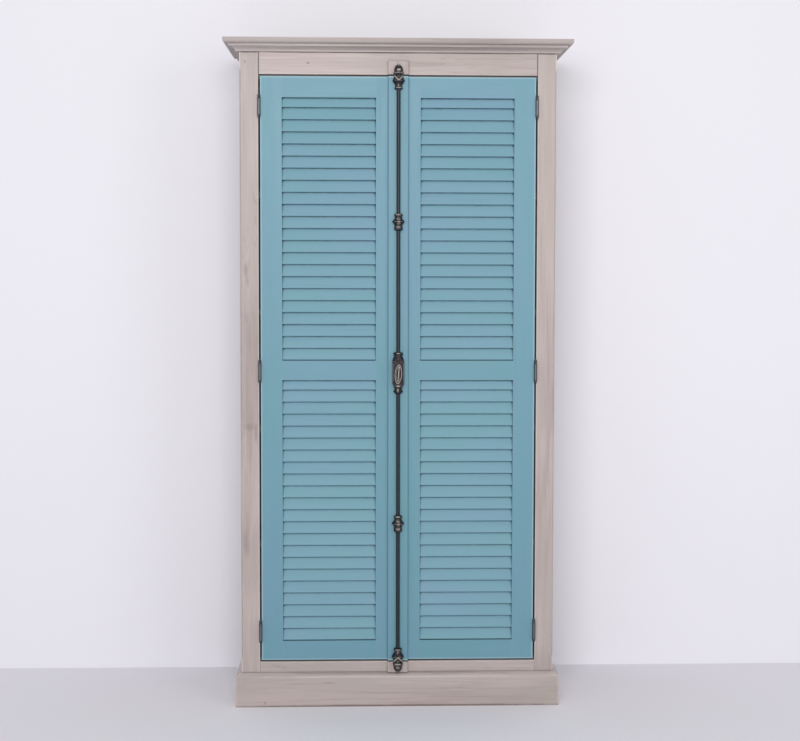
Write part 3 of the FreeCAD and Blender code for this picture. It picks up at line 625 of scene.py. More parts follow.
@dataclass(frozen=True)
class WhitewashedPine(Finish):
    """Taupe lime-washed softwood: faint grain, small knots and scuffs, arrises lighter with wear
    and painted highlight, and painted shade in corners.
    """

    way: Way = Way.UPRIGHT
    body: Rgba = tone(185, 172, 169)
    pale: Rgba = tone(197, 184, 181)
    deep: Rgba = tone(170, 156, 152)
    cool: Rgba = tone(175, 166, 158)
    mark: Rgba = tone(118, 106, 102)
    # Arris colour: worn edges with a painted highlight, also used for painted highlight lines.
    arris: Rgba = tone(222, 213, 212)
    # Painted shade in corners and creases; the same dark also marks the joints at a board's
    # ends.
    shade_and_joint: Rgba = tone(92, 82, 80)
    deep_span: tuple[float, float] = (0.26, 0.5)
    pale_span: tuple[float, float] = (0.5, 0.76)
    cool_span: tuple[float, float, float, float] = (0.42, 0.70, 0.0, 0.6)
    drift_scale: tuple[float, float, float] = (1.3, 5.0, 5.0)
    drift_shift: tuple[float, float, float] = (2.7, 1.9, 0.0)
    mark_share: float = 0.55
    arris_share: float = 0.8
    corner_shade_share: float = 0.55
    rough: tuple[float, float] = (0.66, 0.54)
    stave: float = 0.0
    stave_shift: float = 9.0
    stave_row: float = 7.3
    knots: float = 0.5
    scuffs: float = 0.35
    spots: tuple[Spot, ...] = ()
    half_length: float = 0.0
    joint_width: float = 0.003
    joint_share: float = 0.9

    def material(self, groups: Groups) -> bpy.types.Material:
        """Build the material from the shared groups.

        Args:
            groups: The shared groups.

        Returns:
            The material.
        """
        material, tree, shader, coordinates = self.start()
        place = self.ordered(tree, coordinates.outputs["Object"], self.way)
        board = self.staves(tree, place)
        lines = groups.grain.place(tree, {"Vector": board, "Knots": self.knots,
                                          "Scuffs": self.scuffs})
        low = tree.blend(tree.span(lines["Tone"], *self.deep_span), self.deep, self.body)
        colour = tree.blend(tree.span(lines["Tone"], *self.pale_span), low, self.pale)
        drift = tree.noise(tree.stretch(board, self.drift_scale, self.drift_shift), 1.0, 2.0)
        colour = tree.blend(tree.span(drift, *self.cool_span), colour, self.cool)
        colour = tree.blend(tree.times(lines["Dark"], self.mark_share), colour, self.mark)
        colour = self.spotted(tree, place, colour, groups)
        # Painted highlight with some wear on the edges, then painted shade in the corners.
        edges = self.edges(tree, place, groups)
        colour = tree.blend(tree.times(edges["Edge"], self.arris_share), colour, self.arris)
        colour = tree.blend(tree.times(edges["Corner"], self.corner_shade_share), colour, self.shade_and_joint)
        tree.join(self.jointed(tree, place, colour), shader.inputs["Base Color"])
        tree.join(tree.span(lines["Tone"], 0.2, 0.8, *self.rough), shader.inputs["Roughness"])
        self.bump(tree, shader, lines["Height"])
        return material

    def spotted(self, tree: Tree, place: object, colour: object, groups: Groups) -> object:
        """Tint the colour in each of the board's own knots and figures, and in its dark joints
        and lines of painted shade and painted highlight.

        Args:
            tree: The material's tree.
            place: Object coordinates with the grain first.
            colour: The colour so far.
            groups: The shared groups.

        Returns:
            The tinted colour.
        """
        for spot in self.spots:
            mask = groups.spot.place(tree, {
                "Vector": place, "Along": spot.along, "Across": spot.across,
                "Length": spot.length, "Width": spot.width, "Softness": spot.softness,
                "Streaks": spot.streaks})["Mask"]
            tint = self.arris if spot.light else self.mark
            colour = tree.blend(tree.times(mask, spot.depth), colour, tint)
        return colour

    def jointed(self, tree: Tree, place: object, colour: object) -> object:
        """Darken the ends of a board of known length, where it meets its neighbours.

        Args:
            tree: The material's tree.
            place: Object coordinates with the grain first.
            colour: The colour so far.

        Returns:
            The colour with dark ends.
        """
        if not self.half_length:
            return colour
        reach = tree.math("ABSOLUTE", tree.parts(place)[0])
        end = tree.span(reach, self.half_length - self.joint_width, self.half_length)
        return tree.blend(tree.times(end, self.joint_share), colour, self.shade_and_joint)

    def staves(self, tree: Tree, place: object) -> object:
        """Shift the grain from one glued stave to the next, where the board has staves.

        Args:
            tree: The material's tree.
            place: Object coordinates with the grain first.

        Returns:
            The coordinates that the grain is read at.
        """
        if not self.stave:
            return place
        parts = tree.parts(place)
        count = tree.math("FLOOR", tree.math("DIVIDE", parts[2], self.stave))
        column = tree.math("FLOOR", tree.math("DIVIDE", parts[1], self.stave))
        chance = tree.add("ShaderNodeTexWhiteNoise",
                          {1: tree.math("ADD", count, tree.times(column, self.stave_row))},
                          noise_dimensions="1D")
        moved = tree.times(chance.outputs["Value"], self.stave_shift)
        shift = tree.add("ShaderNodeCombineXYZ", {0: moved, 1: moved})
        added = tree.add("ShaderNodeVectorMath", {0: place, 1: shift.outputs[0]},
                         operation="ADD")
        return added.outputs[0]


@dataclass(frozen=True)
class TealPaint(Finish):
    """Matte brushed paint over softwood: faint brush lines, paler on the arrises and outer rim
    with wear and a painted highlight, and painted shade in corners.
    """

    corner_reach: float = 0.006
    edge_reach: float = 0.0012
    bump_strength: float = 0.22
    bump_depth: float = 0.0003
    way: Way = Way.UPRIGHT
    body: Rgba = tone(105, 151, 167)
    green: Rgba = tone(102, 152, 163)
    blue: Rgba = tone(110, 150, 171)
    deep: Rgba = tone(88, 134, 151)
    # Paler arrises and door rim: worn paint with a painted highlight.
    arris: Rgba = tone(158, 190, 200)
    # Painted shade in corners and between the slats.
    shade_and_joint: Rgba = tone(34, 60, 72)
    streaks: float = 0.6
    fibres: float = 1.2
    scuffs: float = 0.12
    green_span: tuple[float, float, float, float] = (0.50, 0.68, 0.0, 0.6)
    blue_span: tuple[float, float, float, float] = (0.48, 0.32, 0.0, 0.6)
    deep_span: tuple[float, float, float, float] = (0.42, 0.16, 0.0, 0.4)
    drift_scale: tuple[float, float, float] = (2.2, 9.0, 9.0)
    drift_shift: tuple[float, float, float] = (1.7, 0.4, 0.0)
    mark_share: float = 0.30
    arris_share: float = 0.1
    corner_shade_share: float = 0.6
    rim_share: float = 0.65
    rim_width: float = 0.0065
    rim_box: tuple[Vector, Vector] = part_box("right_stile_outer")
    rough: tuple[float, float] = (0.54, 0.44)

    def material(self, groups: Groups) -> bpy.types.Material:
        """Build the material from the shared groups.

        Args:
            groups: The shared groups.

        Returns:
            The material.
        """
        material, tree, shader, coordinates = self.start()
        place = self.ordered(tree, coordinates.outputs["Object"], self.way)
        lines = groups.grain.place(tree, {"Vector": place, "Streaks": self.streaks,
                                          "Fibres": self.fibres, "Knots": 0.0,
                                          "Scuffs": self.scuffs})
        drift = tree.noise(tree.stretch(place, self.drift_scale, self.drift_shift), 1.0, 3.0)
        colour = tree.blend(tree.span(drift, *self.green_span), self.body, self.green)
        colour = tree.blend(tree.span(drift, *self.blue_span), colour, self.blue)
        colour = tree.blend(tree.span(lines["Tone"], *self.deep_span), colour, self.deep)
        colour = tree.blend(tree.times(lines["Dark"], self.mark_share), colour, self.deep)
        edges = self.edges(tree, place, groups)
        low, high = self.rim_box
        rim = groups.rim.place(tree, {"Vector": coordinates.outputs["Object"], "Outer": high.x,
                                      "Top": high.z, "Bottom": low.z, "Width": self.rim_width})
        # Painted highlight, with some paint wear, on the arrises and the doors' outer rim; then
        # painted shade in the corners.
        blend_mask = tree.math("MAXIMUM", tree.times(edges["Edge"], self.arris_share),
                         tree.times(rim["Mask"], self.rim_share))
        colour = tree.blend(blend_mask, colour, self.arris)
        colour = tree.blend(tree.times(edges["Corner"], self.corner_shade_share), colour, self.shade_and_joint)
        tree.join(colour, shader.inputs["Base Color"])
        tree.join(tree.span(lines["Tone"], 0.2, 0.8, *self.rough), shader.inputs["Roughness"])
        self.bump(tree, shader, lines["Height"])
        return material


@dataclass(frozen=True)
class AgedMetal(Finish):
    """Dark patinated metal, painted lighter where it faces the front and darker on its sides,
    with painted highlights on its front edges that also stand for rubbed wear.

    Its levels are the heights that the streaks are measured from, each with 1 for upwards or
    -1 for downwards.
    """

    edge_reach: float = 0.0036
    corner_reach: float = 0.006
    patch_scale: float = 260.0
    bump_strength: float = 0.25
    bump_depth: float = 0.0001
    mottle_span: tuple[float, float] = (0.30, 0.62)
    ahead_span: tuple[float, float] = (0.0, 0.25)
    # Painted shade on the sides and painted light on what faces the front.
    side: Rgba = tone(24, 26, 34)
    front: Rgba = tone(70, 61, 66)
    hollow: Rgba = tone(10, 11, 15)
    # Painted highlight, also standing for rubbed metal, on front edges and light streaks.
    rubbed_and_lit: Rgba = tone(192, 184, 174)
    rubbed_and_lit_share: float = 0.95
    metallic: float = 0.45
    smooth: float = 0.36
    rough: float = 0.55
    strokes: tuple[Stroke, ...] = ()
    levels: tuple[tuple[float, int], ...] = ()

    def material(self, groups: Groups) -> bpy.types.Material:
        """Build the material from the shared groups.

        Args:
            groups: The shared groups.

        Returns:
            The material.
        """
        material, tree, shader, coordinates = self.start()
        place = coordinates.outputs["Object"]
        facing = groups.front.place(tree, {"Normal": coordinates.outputs["Normal"],
                                           "Vector": place})
        edges = self.edges(tree, place, groups)
        mottled = tree.times(facing["Front"], tree.span(facing["Patch"], *self.mottle_span))
        # Painted light: lighter towards the front, darker on the sides.
        colour = tree.blend(mottled, self.side, self.front)
        colour = tree.blend(edges["Corner"], colour, self.hollow)
        # Painted highlight on the front edges, partly rubbed wear.
        blend_mask = tree.times(tree.times(edges["Edge"], facing["Front"]), self.rubbed_and_lit_share)
        start, end = self.ahead_span
        ahead = groups.front.place(tree, {"Normal": coordinates.outputs["Normal"],
                                          "Vector": place, "Start": start, "End": end})["Front"]
        blend_mask = self.stroked(tree, place, ahead, blend_mask, False, groups)
        sunk = self.stroked(tree, place, ahead, 0.0, True, groups)
        colour = tree.blend(sunk, tree.blend(blend_mask, colour, self.rubbed_and_lit), self.hollow)
        tree.join(colour, shader.inputs["Base Color"])
        tree.join(tree.span(blend_mask, 0.0, 1.0, self.rough, self.smooth), shader.inputs["Roughness"])
        shader.inputs["Metallic"].default_value = self.metallic
        self.bump(tree, shader, facing["Grain"])
        return material

    def stroked(self, tree: Tree, place: object, ahead: object, mask: object, dark: bool,
                groups: Groups) -> object:
        """Add the bare or the dark streaks to a mask.

        Args:
            tree: The material's tree.
            place: Object coordinates.
            ahead: Mask of what faces the front at all.
            mask: The mask that the streaks are added to.
            dark: Whether the dark streaks are added, or the light ones, which are painted
                highlights.
            groups: The shared groups.

        Returns:
            The mask with the streaks.
        """
        for level, flip in self.levels:
            for stroke in (each for each in self.strokes if each.dark == dark):
                (x, z), (end_x, end_z) = stroke.start, stroke.end
                streak = groups.stroke.place(tree, {
                    "Vector": place, "Start X": x * MM, "Start Z": level + flip * z * MM,
                    "Step X": (end_x - x) * MM, "Step Z": flip * (end_z - z) * MM,
                    "Width": stroke.width * MM})["Mask"]
                shown = tree.times(tree.times(streak, ahead), stroke.share)
                mask = tree.math("MAXIMUM", mask, shown)
        return mask


@dataclass(frozen=True)
class DrawnSteel(Finish):
    """Satin blackened steel of the rods, pins and screws, with a painted sheen down the front.
    """

    bump_strength: float = 0.15
    bump_depth: float = 0.0001
    body: Rgba = tone(20, 30, 36)
    # Painted sheen down the front of the rods.
    front_sheen: Rgba = tone(37, 46, 53)
    sheen_span: tuple[float, float] = (0.80, 1.0)
    sheen_share: float = 0.55
    drawn_share: float = 0.6
    drawn_scale: tuple[float, float, float] = (900.0, 900.0, 6.0)
    rough: tuple[float, float] = (0.52, 0.42)
    metallic: float = 0.4

    def material(self, groups: Groups) -> bpy.types.Material:
        """Build the material with a faint drawn grain along the rods.

        Args:
            groups: The shared groups.

        Returns:
            The material.
        """
        material, tree, shader, coordinates = self.start()
        place = coordinates.outputs["Object"]
        drawn = tree.noise(tree.stretch(place, self.drawn_scale), 1.0, 3.0, 0.6)
        start, end = self.sheen_span
        facing = groups.front.place(tree, {"Normal": coordinates.outputs["Normal"],
                                           "Vector": place, "Start": start, "End": end})
        streak = tree.math("ADD", self.sheen_share, tree.times(drawn, self.drawn_share))
        # Painted sheen where the surface faces the front.
        rubbed_and_lit = tree.times(facing["Front"], streak)
        tree.join(tree.blend(rubbed_and_lit, self.body, self.front_sheen), shader.inputs["Base Color"])
        tree.join(tree.span(drawn, 0.3, 0.7, *self.rough), shader.inputs["Roughness"])
        shader.inputs["Metallic"].default_value = self.metallic
        self.bump(tree, shader, drawn)
        return material


class Paintshop:
    """Builds the shared shader groups once and hands out each finish's material."""

    def __init__(self) -> None:
        """Build the groups."""
        self.groups = Groups(GrainGroup(), EdgeGroup(), RimGroup(), SpotGroup(),
                             StrokeGroup(), FrontGroup())
        self.made: dict[str, bpy.types.Material] = {}

    def material(self, finish: Finish) -> bpy.types.Material:
        """Return a finish's material, building it the first time.

        Args:
            finish: The finish.

        Returns:
            Its material.
        """
        if finish.name not in self.made:
            self.made[finish.name] = finish.material(self.groups)
        return self.made[finish.name]

    def dress(self, node: str, finish: Finish) -> None:
        """Give a CAD node a finish in every material slot.

        Args:
            node: The node's name.
            finish: Its finish.
        """
        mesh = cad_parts[node].data
        material = self.material(finish)
        if not mesh.materials:
            mesh.materials.append(material)
        for number in range(len(mesh.materials)):
            mesh.materials[number] = material


# Places of the marks on the case, in metres: LINE and COVE_LINE are half widths of dark lines,
# which are painted shadow under the crown's foot, painted shade in its cove and at the plinth,
# and dark joints, and LONG is the half length of a mark that runs along a whole board.
RAIL_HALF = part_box("frame_rail_top")[1].x
CROWN_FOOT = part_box("crown_mould_front")[0].z
CROWN_COVE = (CROWN_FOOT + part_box("crown_mould_front")[1].z) / 2 - 0.002
RAIL_MIDDLE = (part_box("frame_rail_top")[0].z + CROWN_FOOT) / 2
STILE_MIDDLE = (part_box("frame_stile_right")[0].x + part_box("frame_stile_right")[1].x) / 2
STILE_HALF = 0.09
PLINTH_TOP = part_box("plinth_front")[1].z
LINE = 0.0026
COVE_LINE = 0.0064
LONG = 0.62
CROWN_TONES = {"body": tone(174, 164, 161), "pale": tone(185, 175, 172),
               "deep": tone(159, 148, 144), "cool": tone(168, 159, 152), "arris_share": 0.12,
               "corner_reach": 0.006}


def stile_lines(side: int) -> tuple[Spot, ...]:
    """Place a stile's dark lines: painted shadow under the crown's foot, the dark joint with the
    top rail and painted shade at the plinth.

    Args:
        side: 1 for the right stile, -1 for the left.

    Returns:
        The lines.
    """
    return (Spot(CROWN_FOOT - LINE / 2, side * STILE_MIDDLE, LINE, STILE_HALF, 0.95),
            Spot(RAIL_MIDDLE, side * RAIL_HALF, CROWN_FOOT - RAIL_MIDDLE, 0.0024, 0.75, 0.5),
            Spot(PLINTH_TOP, side * STILE_MIDDLE, LINE, STILE_HALF, 0.3))


LEFT_FIGURE = (Spot(1.385, -0.4765, 0.036, 0.0115, 0.55, 0.8, 0.3),
               Spot(1.348, -0.4730, 0.034, 0.011, 0.34, 0.8, 0.3),
               Spot(1.232, -0.474, 0.022, 0.007, 0.20, 0.6, 0.5),
               Spot(1.165, -0.468, 0.060, 0.013, 0.15, 0.8, 0.4),
               Spot(0.890, -0.466, 0.017, 0.027, 0.36, 0.8, 0.2),
               Spot(0.868, -0.4475, 0.034, 0.005, 0.30, 0.7, 0.2),
               Spot(0.518, -0.4785, 0.072, 0.0145, 0.37, 0.8, 0.2),
               Spot(2.0295, -0.4776, 0.006, 0.003, 0.6),
               Spot(1.06, -STILE_MIDDLE, 0.32, 0.10, 0.26, 0.6),
               Spot(0.48, -STILE_MIDDLE, 0.15, 0.10, 0.15, 0.6),
               Spot(0.17, -STILE_MIDDLE, 0.13, 0.10, 0.13, 0.6))
RIGHT_FIGURE = (Spot(0.985, STILE_MIDDLE, 0.17, 0.10, 0.14, 0.8),
                Spot(0.45, STILE_MIDDLE, 0.32, 0.10, 0.07, 0.8),
                Spot(0.13, STILE_MIDDLE, 0.10, 0.10, 0.26, 0.9))
RAIL_KNOT = Spot(-0.2814, 2.0268, 0.007, 0.0035, 0.75)
# Plinth: a painted contact shadow along the foot, painted shade at the top of the chamfer and a
# painted highlight on its arris.
PLINTH_MARKS = (Spot(-0.4204, 0.0134, 0.004, 0.007, 0.5),
                Spot(-0.215, 0.076, 0.030, 0.0035, 0.35, 0.7),
                Spot(0.0, 0.0015, LONG, 0.0054, 0.85, 0.45),
                Spot(0.0, PLINTH_TOP - 0.0020, LONG, 0.0052, 0.55, 0.9),
                Spot(0.0, PLINTH_TOP - 0.0118, LONG, 0.0024, 0.55, 0.6, light=True),
                Spot(0.32, 0.05, 0.42, 0.10, 0.10, 0.9))

PINE_LEFT_STILE = WhitewashedPine("pine_left_stile", corner_reach=0.0045,
                                  spots=(*LEFT_FIGURE, *stile_lines(-1)))
PINE_RIGHT_STILE = WhitewashedPine("pine_right_stile", corner_reach=0.0045,
                                   spots=(*RIGHT_FIGURE, *stile_lines(1)))
# Keeper blocks: their edges take a darker colour, painted shade on the eased edges.
PINE_BLOCK = WhitewashedPine("pine_block", corner_reach=0.0045, edge_reach=0.003,
                             arris=tone(146, 134, 131), arris_share=0.9)
PINE_ACROSS = WhitewashedPine("pine_across", way=Way.ACROSS)
# Top rail: a dark line of painted shadow under the crown's foot.
PINE_TOP_RAIL = WhitewashedPine(
    "pine_top_rail", way=Way.ACROSS, half_length=RAIL_HALF, corner_reach=0.0045,
    joint_width=0.0055, joint_share=1.0,
    spots=(RAIL_KNOT, Spot(0.0, CROWN_FOOT - LINE / 2, LONG, LINE, 0.95)))
# Low rail: a line of painted shade at the plinth.
PINE_LOW_RAIL = WhitewashedPine(
    "pine_low_rail", way=Way.ACROSS, half_length=RAIL_HALF, joint_share=0.4,
    corner_reach=0.0045,
    spots=(Spot(0.0, PLINTH_TOP, LONG, LINE, 0.3), Spot(0.0, 0.124, LONG, 0.10, 0.06, 0.6)))
PINE_PLINTH = WhitewashedPine("pine_plinth", way=Way.ACROSS, arris_share=0.15, scuffs=0.15,
                              spots=PLINTH_MARKS)
PINE_CROWN = WhitewashedPine("pine_crown", way=Way.ACROSS, **CROWN_TONES)
# Crown moulding: a dark band of painted shade in the cove.
PINE_MOULD = WhitewashedPine("pine_mould", way=Way.ACROSS, **CROWN_TONES,
                             spots=(Spot(0.0, CROWN_COVE, LONG, COVE_LINE, 0.34, 0.5),))
PINE_CROWN_SIDE = WhitewashedPine("pine_crown_side", way=Way.INWARD, corner_shade_share=0.2,
                                  **CROWN_TONES,
                                  spots=(Spot(0.0, CROWN_COVE, LONG, COVE_LINE, 0.25, 0.5),))
PINE_INWARD = WhitewashedPine("pine_inward", way=Way.INWARD, arris_share=0.4)
PINE_STAVES = WhitewashedPine("pine_staves", stave=0.088, knots=1.0)
PINE_SHELF = WhitewashedPine("pine_shelf", way=Way.ACROSS, stave=0.09)
PAINT_UPRIGHT = TealPaint("teal_upright")
PAINT_ACROSS = TealPaint("teal_across", way=Way.ACROSS)
# Slats: a lighter copy of the teal stands in for light on their upturned faces, and strong
# painted shade darkens the lines between them.
PAINT_SLATS = TealPaint("teal_slats", way=Way.ACROSS, rough=(0.72, 0.62),
                        corner_reach=0.009, shade_and_joint=tone(20, 42, 54), corner_shade_share=1.0,
                        body=tone(117, 160, 175), green=tone(114, 161, 171),
                        blue=tone(122, 159, 179), deep=tone(98, 142, 158))

# Light strokes on the castings are painted highlights, some standing for rubbed metal; dark
# strokes darken grooves and slots.
BRONZE_KEEPER = AgedMetal(
    "bronze_keeper", rubbed_and_lit_share=0.75, levels=((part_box("keeper_top")[0].z, 1),),
    strokes=(Stroke((-2.6, 12.3), (3.6, 12.3), 3.2, 0.9),
             Stroke((0.0, 26.0), (0.0, 30.0), 3.6, 0.85),
             Stroke((-12.0, 3.0), (-8.0, 1.0), 2.8, 0.5),
             Stroke((8.0, 1.0), (13.0, 3.0), 2.8, 0.5),
             Stroke((-6.0, 4.5), (6.0, 4.5), 2.0, 0.25)))
BRONZE_LOW_KEEPER = AgedMetal(
    "bronze_low_keeper", rubbed_and_lit_share=0.7, front=tone(98, 89, 86),
    levels=((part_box("keeper_bottom")[1].z, -1),),
    strokes=(Stroke((-9.0, 1.0), (8.0, 1.0), 1.7, 0.8),
             Stroke((-3.0, 13.0), (3.0, 13.0), 4.0, 0.25),
             Stroke((0.0, 26.0), (0.0, 30.0), 3.4, 0.3)))
BRONZE_GUIDE = AgedMetal(
    "bronze_guide",
    levels=((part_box("guide_top")[1].z, -1), (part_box("guide_bottom")[0].z, 1)),
    strokes=(Stroke((-12.0, 2.0), (-1.5, 13.0), 2.6, 0.9),
             Stroke((13.0, 2.5), (2.7, 13.0), 2.4, 0.75),
             Stroke((0.0, 13.8), (1.0, 13.8), 3.2, 0.85),
             Stroke((-0.5, 28.0), (-0.5, 31.0), 2.6, 0.35),
             Stroke((-6.0, 36.6), (8.0, 36.6), 2.2, 0.55)))
KNUCKLE_LENGTH = 53.0 * MM
BRONZE_KNUCKLE = AgedMetal(
    "bronze_knuckle",
    levels=((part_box("knuckle_guides")[1].z, -1),
            (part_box("knuckle_guides")[0].z + KNUCKLE_LENGTH, -1)),
    strokes=(Stroke((-6.0, 2.8), (5.0, 2.8), 2.4, 0.5),
             Stroke((-3.5, 17.0), (3.5, 19.0), 4.0, 0.38),
             Stroke((-5.0, 22.4), (6.0, 22.4), 1.5, 0.7, dark=True),
             Stroke((-1.0, 25.0), (3.0, 25.0), 2.8, 0.9),
             Stroke((0.0, 30.0), (5.0, 30.4), 2.3, 0.5),
             Stroke((-6.0, 34.0), (6.0, 34.0), 1.9, 0.75, dark=True),
             Stroke((-4.0, 41.5), (4.0, 41.5), 3.2, 0.5)))
BRONZE_CASE = AgedMetal(
    "bronze_case", rubbed_and_lit_share=0.05, front=tone(58, 51, 57),
    levels=((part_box("gear_case")[1].z, -1),),
    strokes=(Stroke((-4.0, 2.5), (4.0, 2.5), 2.2, 0.5),
             Stroke((-4.5, 104.8), (4.5, 104.8), 1.8, 0.8),
             Stroke((-1.0, 116.0), (-1.0, 122.0), 4.0, 0.45),
             Stroke((-16.5, 36.0), (-16.5, 92.0), 1.8, 0.18),
             Stroke((16.5, 36.0), (16.5, 92.0), 1.8, 0.18)))
# Knob: its face is painted light as a highlight on the broad rim.
BRONZE_KNOB = AgedMetal(
    "bronze_knob", front=tone(128, 122, 118), corner_reach=0.0015,
    levels=((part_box("knob")[1].z, -1),),
    strokes=(Stroke((2.4, 9.0), (-0.4, 52.0), 2.8, 0.8),
             Stroke((-2.8, 19.0), (-2.5, 38.0), 2.4, 1.0, dark=True),
             Stroke((6.4, 19.0), (4.6, 43.0), 2.2, 0.9, dark=True)))
HINGE_IRON = AgedMetal("aged_hinge_iron", side=tone(40, 47, 53), front=tone(62, 70, 76),
                       rubbed_and_lit=tone(112, 118, 122), rubbed_and_lit_share=0.6)
STEEL = DrawnSteel("blackened_steel")


# ------------------------------------------------------------------ modelling bench
@dataclass(frozen=True)
class Ring:
    """One ring of a turned outline, as shares of the piece's radius and length."""

    out: float
    along: float
    sharp: float = 0.0


@dataclass(frozen=True)
class Station:
    """Where a turned piece starts on an upright axis, and whether it runs up or down."""

    start: Vector
    flip: int = 1

    def at(self, along: float) -> Vector:
        """Return the point of the axis at a distance from the start."""
        return self.start + Vector((0, 0, self.flip * along))

    def local(self, point: Vector) -> Vector:
        """Return a point's place from the start in millimetres, with z along the piece."""
        place = (point - self.start) / MM
        return Vector((place.x, place.y, self.flip * place.z))


class Bench:
    """Modelling steps with Blender's own tools, shared by all the castings."""

    def clear(self) -> None:
        """Leave nothing selected, so that an operator acts on the new piece alone."""
        bpy.ops.object.select_all(action="DESELECT")

    def hold(self, piece: bpy.types.Object) -> None:
        """Select one piece and make it the active one.

        Args:
            piece: The piece.
        """
        self.clear()
        piece.select_set(True)
        bpy.context.view_layer.objects.active = piece

    def named(self, name: str) -> bpy.types.Object:
        """Name the primitive that was just added and settle its place in its mesh.

        Args:
            name: Its name.

        Returns:
            The piece.
        """
        piece = bpy.context.object
        piece.name = name
        piece.data.name = name
        bpy.ops.object.transform_apply(location=True, rotation=True, scale=True)
        return piece

    def turn(self, name: str, rings: tuple[Ring, ...], radius: float, length: float,
             station: Station, bored: bool = True, sides: int = 32) -> bpy.types.Object:
        """Turn an outline about an upright axis, ring by ring.

        Args:
            name: The piece's name.
            rings: The outline; the first and last rings are joined when it is bored.
            radius: Radius that a share of one stands for, in metres.
            length: Length that a share of one stands for, in metres.
            station: Where the piece starts and which way it runs.
            bored: Whether the outline runs back down a bore, or is capped at both ends.
            sides: Number of faces round the axis.

        Returns:
            The turned piece.
        """
        self.clear()
        bpy.ops.mesh.primitive_circle_add(vertices=sides, radius=rings[0].out * radius,
                                          fill_type="NOTHING",
                                          location=station.at(rings[0].along * length))
        piece = self.named(name)
        bpy.ops.object.mode_set(mode="EDIT")
        bpy.ops.mesh.select_mode(type="VERT")
        bpy.ops.mesh.select_all(action="SELECT")
        bpy.ops.transform.edge_crease(value=rings[0].sharp)
        last = rings[0]
        for ring in (*rings[1:], *rings[:1]) if bored else rings[1:]:
            rise = station.flip * (ring.along - last.along) * length
            bpy.ops.mesh.extrude_region_move(TRANSFORM_OT_translate={"value": (0, 0, rise)})
            growth = ring.out / last.out
            bpy.ops.transform.resize(value=(growth, growth, 1),
                                     center_override=station.at(ring.along * length))
            bpy.ops.transform.edge_crease(value=ring.sharp - last.sharp)
            last = ring
        bpy.ops.mesh.select_all(action="SELECT")
        bpy.ops.mesh.remove_doubles(threshold=0.001 * MM)
        bpy.ops.mesh.fill_holes(sides=0)
        bpy.ops.mesh.select_all(action="SELECT")
        bpy.ops.mesh.normals_make_consistent(inside=False)
        bpy.ops.object.mode_set(mode="OBJECT")
        return piece

    def pick(self, piece: bpy.types.Object, kind: str,
             wanted: Callable[[Vector, Vector], bool]) -> None:
        """Enter edit mode with the elements that pass a test selected.

        Args:
            piece: The piece to work on.
            kind: FACE, EDGE or VERT.
            wanted: Test of an element's centre, and of its normal or an edge's direction.
        """
        self.hold(piece)
        bpy.ops.object.mode_set(mode="EDIT")
        bpy.ops.mesh.select_mode(type=kind)
        bpy.ops.mesh.select_all(action="DESELECT")
        bpy.ops.object.mode_set(mode="OBJECT")
        mesh = piece.data
        if kind == "FACE":
            for face in mesh.polygons:
                face.select = wanted(face.center, face.normal)
        elif kind == "VERT":
            for vertex in mesh.vertices:
                vertex.select = wanted(vertex.co, vertex.normal)
        else:
            for edge in mesh.edges:
                first, second = (mesh.vertices[number].co for number in edge.vertices)
                edge.select = wanted((first + second) / 2, (second - first).normalized())
        bpy.ops.object.mode_set(mode="EDIT")

    def settle(self, piece: bpy.types.Object, modifier: bpy.types.Modifier) -> None:
        """Apply a modifier."""
        self.hold(piece)
        bpy.ops.object.modifier_apply(modifier=modifier.name)

    def round_off(self, piece: bpy.types.Object, levels: int = 2) -> None:
        """Round a cage with an applied subdivision surface.

        Args:
            piece: The cage.
            levels: Times that its faces are divided.
        """
        modifier = piece.modifiers.new("rounding", "SUBSURF")
        modifier.levels = modifier.render_levels = levels
        self.settle(piece, modifier)

    def relief(self, piece: bpy.types.Object, height: float, share: Callable[[Vector], float],
               direction: str = "NORMAL") -> None:
        """Raise or sink part of a surface with an applied displacement.

        Args:
            piece: The piece to work on.
            height: Full height in millimetres, negative to sink.
            share: Share of the height at a point of the surface, from 0 to 1.
            direction: NORMAL, or the axis to move along.
        """
        weights = piece.vertex_groups.new(name="relief")
        for vertex in piece.data.vertices:
            amount = share(vertex.co)
            if amount > 0.0:
                weights.add([vertex.index], min(amount, 1.0), "REPLACE")
        modifier = piece.modifiers.new("relief", "DISPLACE")
        modifier.vertex_group = weights.name
        modifier.strength = height * MM
        modifier.mid_level = 0.0
        modifier.direction = direction
        self.settle(piece, modifier)
        piece.vertex_groups.clear()

    def flatten(self, piece: bpy.types.Object, face_y: float) -> None:
        """Cut off whatever lies behind an upright plane and close the cut.

        Args:
            piece: The piece.
            face_y: Where the plane lies, from front to back.
        """
        self.hold(piece)
        bpy.ops.object.mode_set(mode="EDIT")
        bpy.ops.mesh.select_mode(type="VERT")
        bpy.ops.mesh.select_all(action="SELECT")
        bpy.ops.mesh.bisect(plane_co=(0, face_y, 0), plane_no=(0, 1, 0), use_fill=True,
                            clear_outer=True)
        bpy.ops.object.mode_set(mode="OBJECT")

    def join(self, pieces: list[bpy.types.Object]) -> bpy.types.Object:
        """Join pieces into the first one.

        Args:
            pieces: The pieces.

        Returns:
            The joined piece.
        """
        self.hold(pieces[0])
        for piece in pieces:
            piece.select_set(True)
        bpy.ops.object.join()
        return pieces[0]

    def copy(self, piece: bpy.types.Object, name: str) -> bpy.types.Object:
        """Copy a piece with its own mesh.

        Args:
            piece: The piece.
            name: Name of the copy.

        Returns:
            The copy.
        """
        self.hold(piece)
        bpy.ops.object.duplicate(linked=False)
        twin = bpy.context.object
        twin.name = name
        twin.data.name = name
        return twin

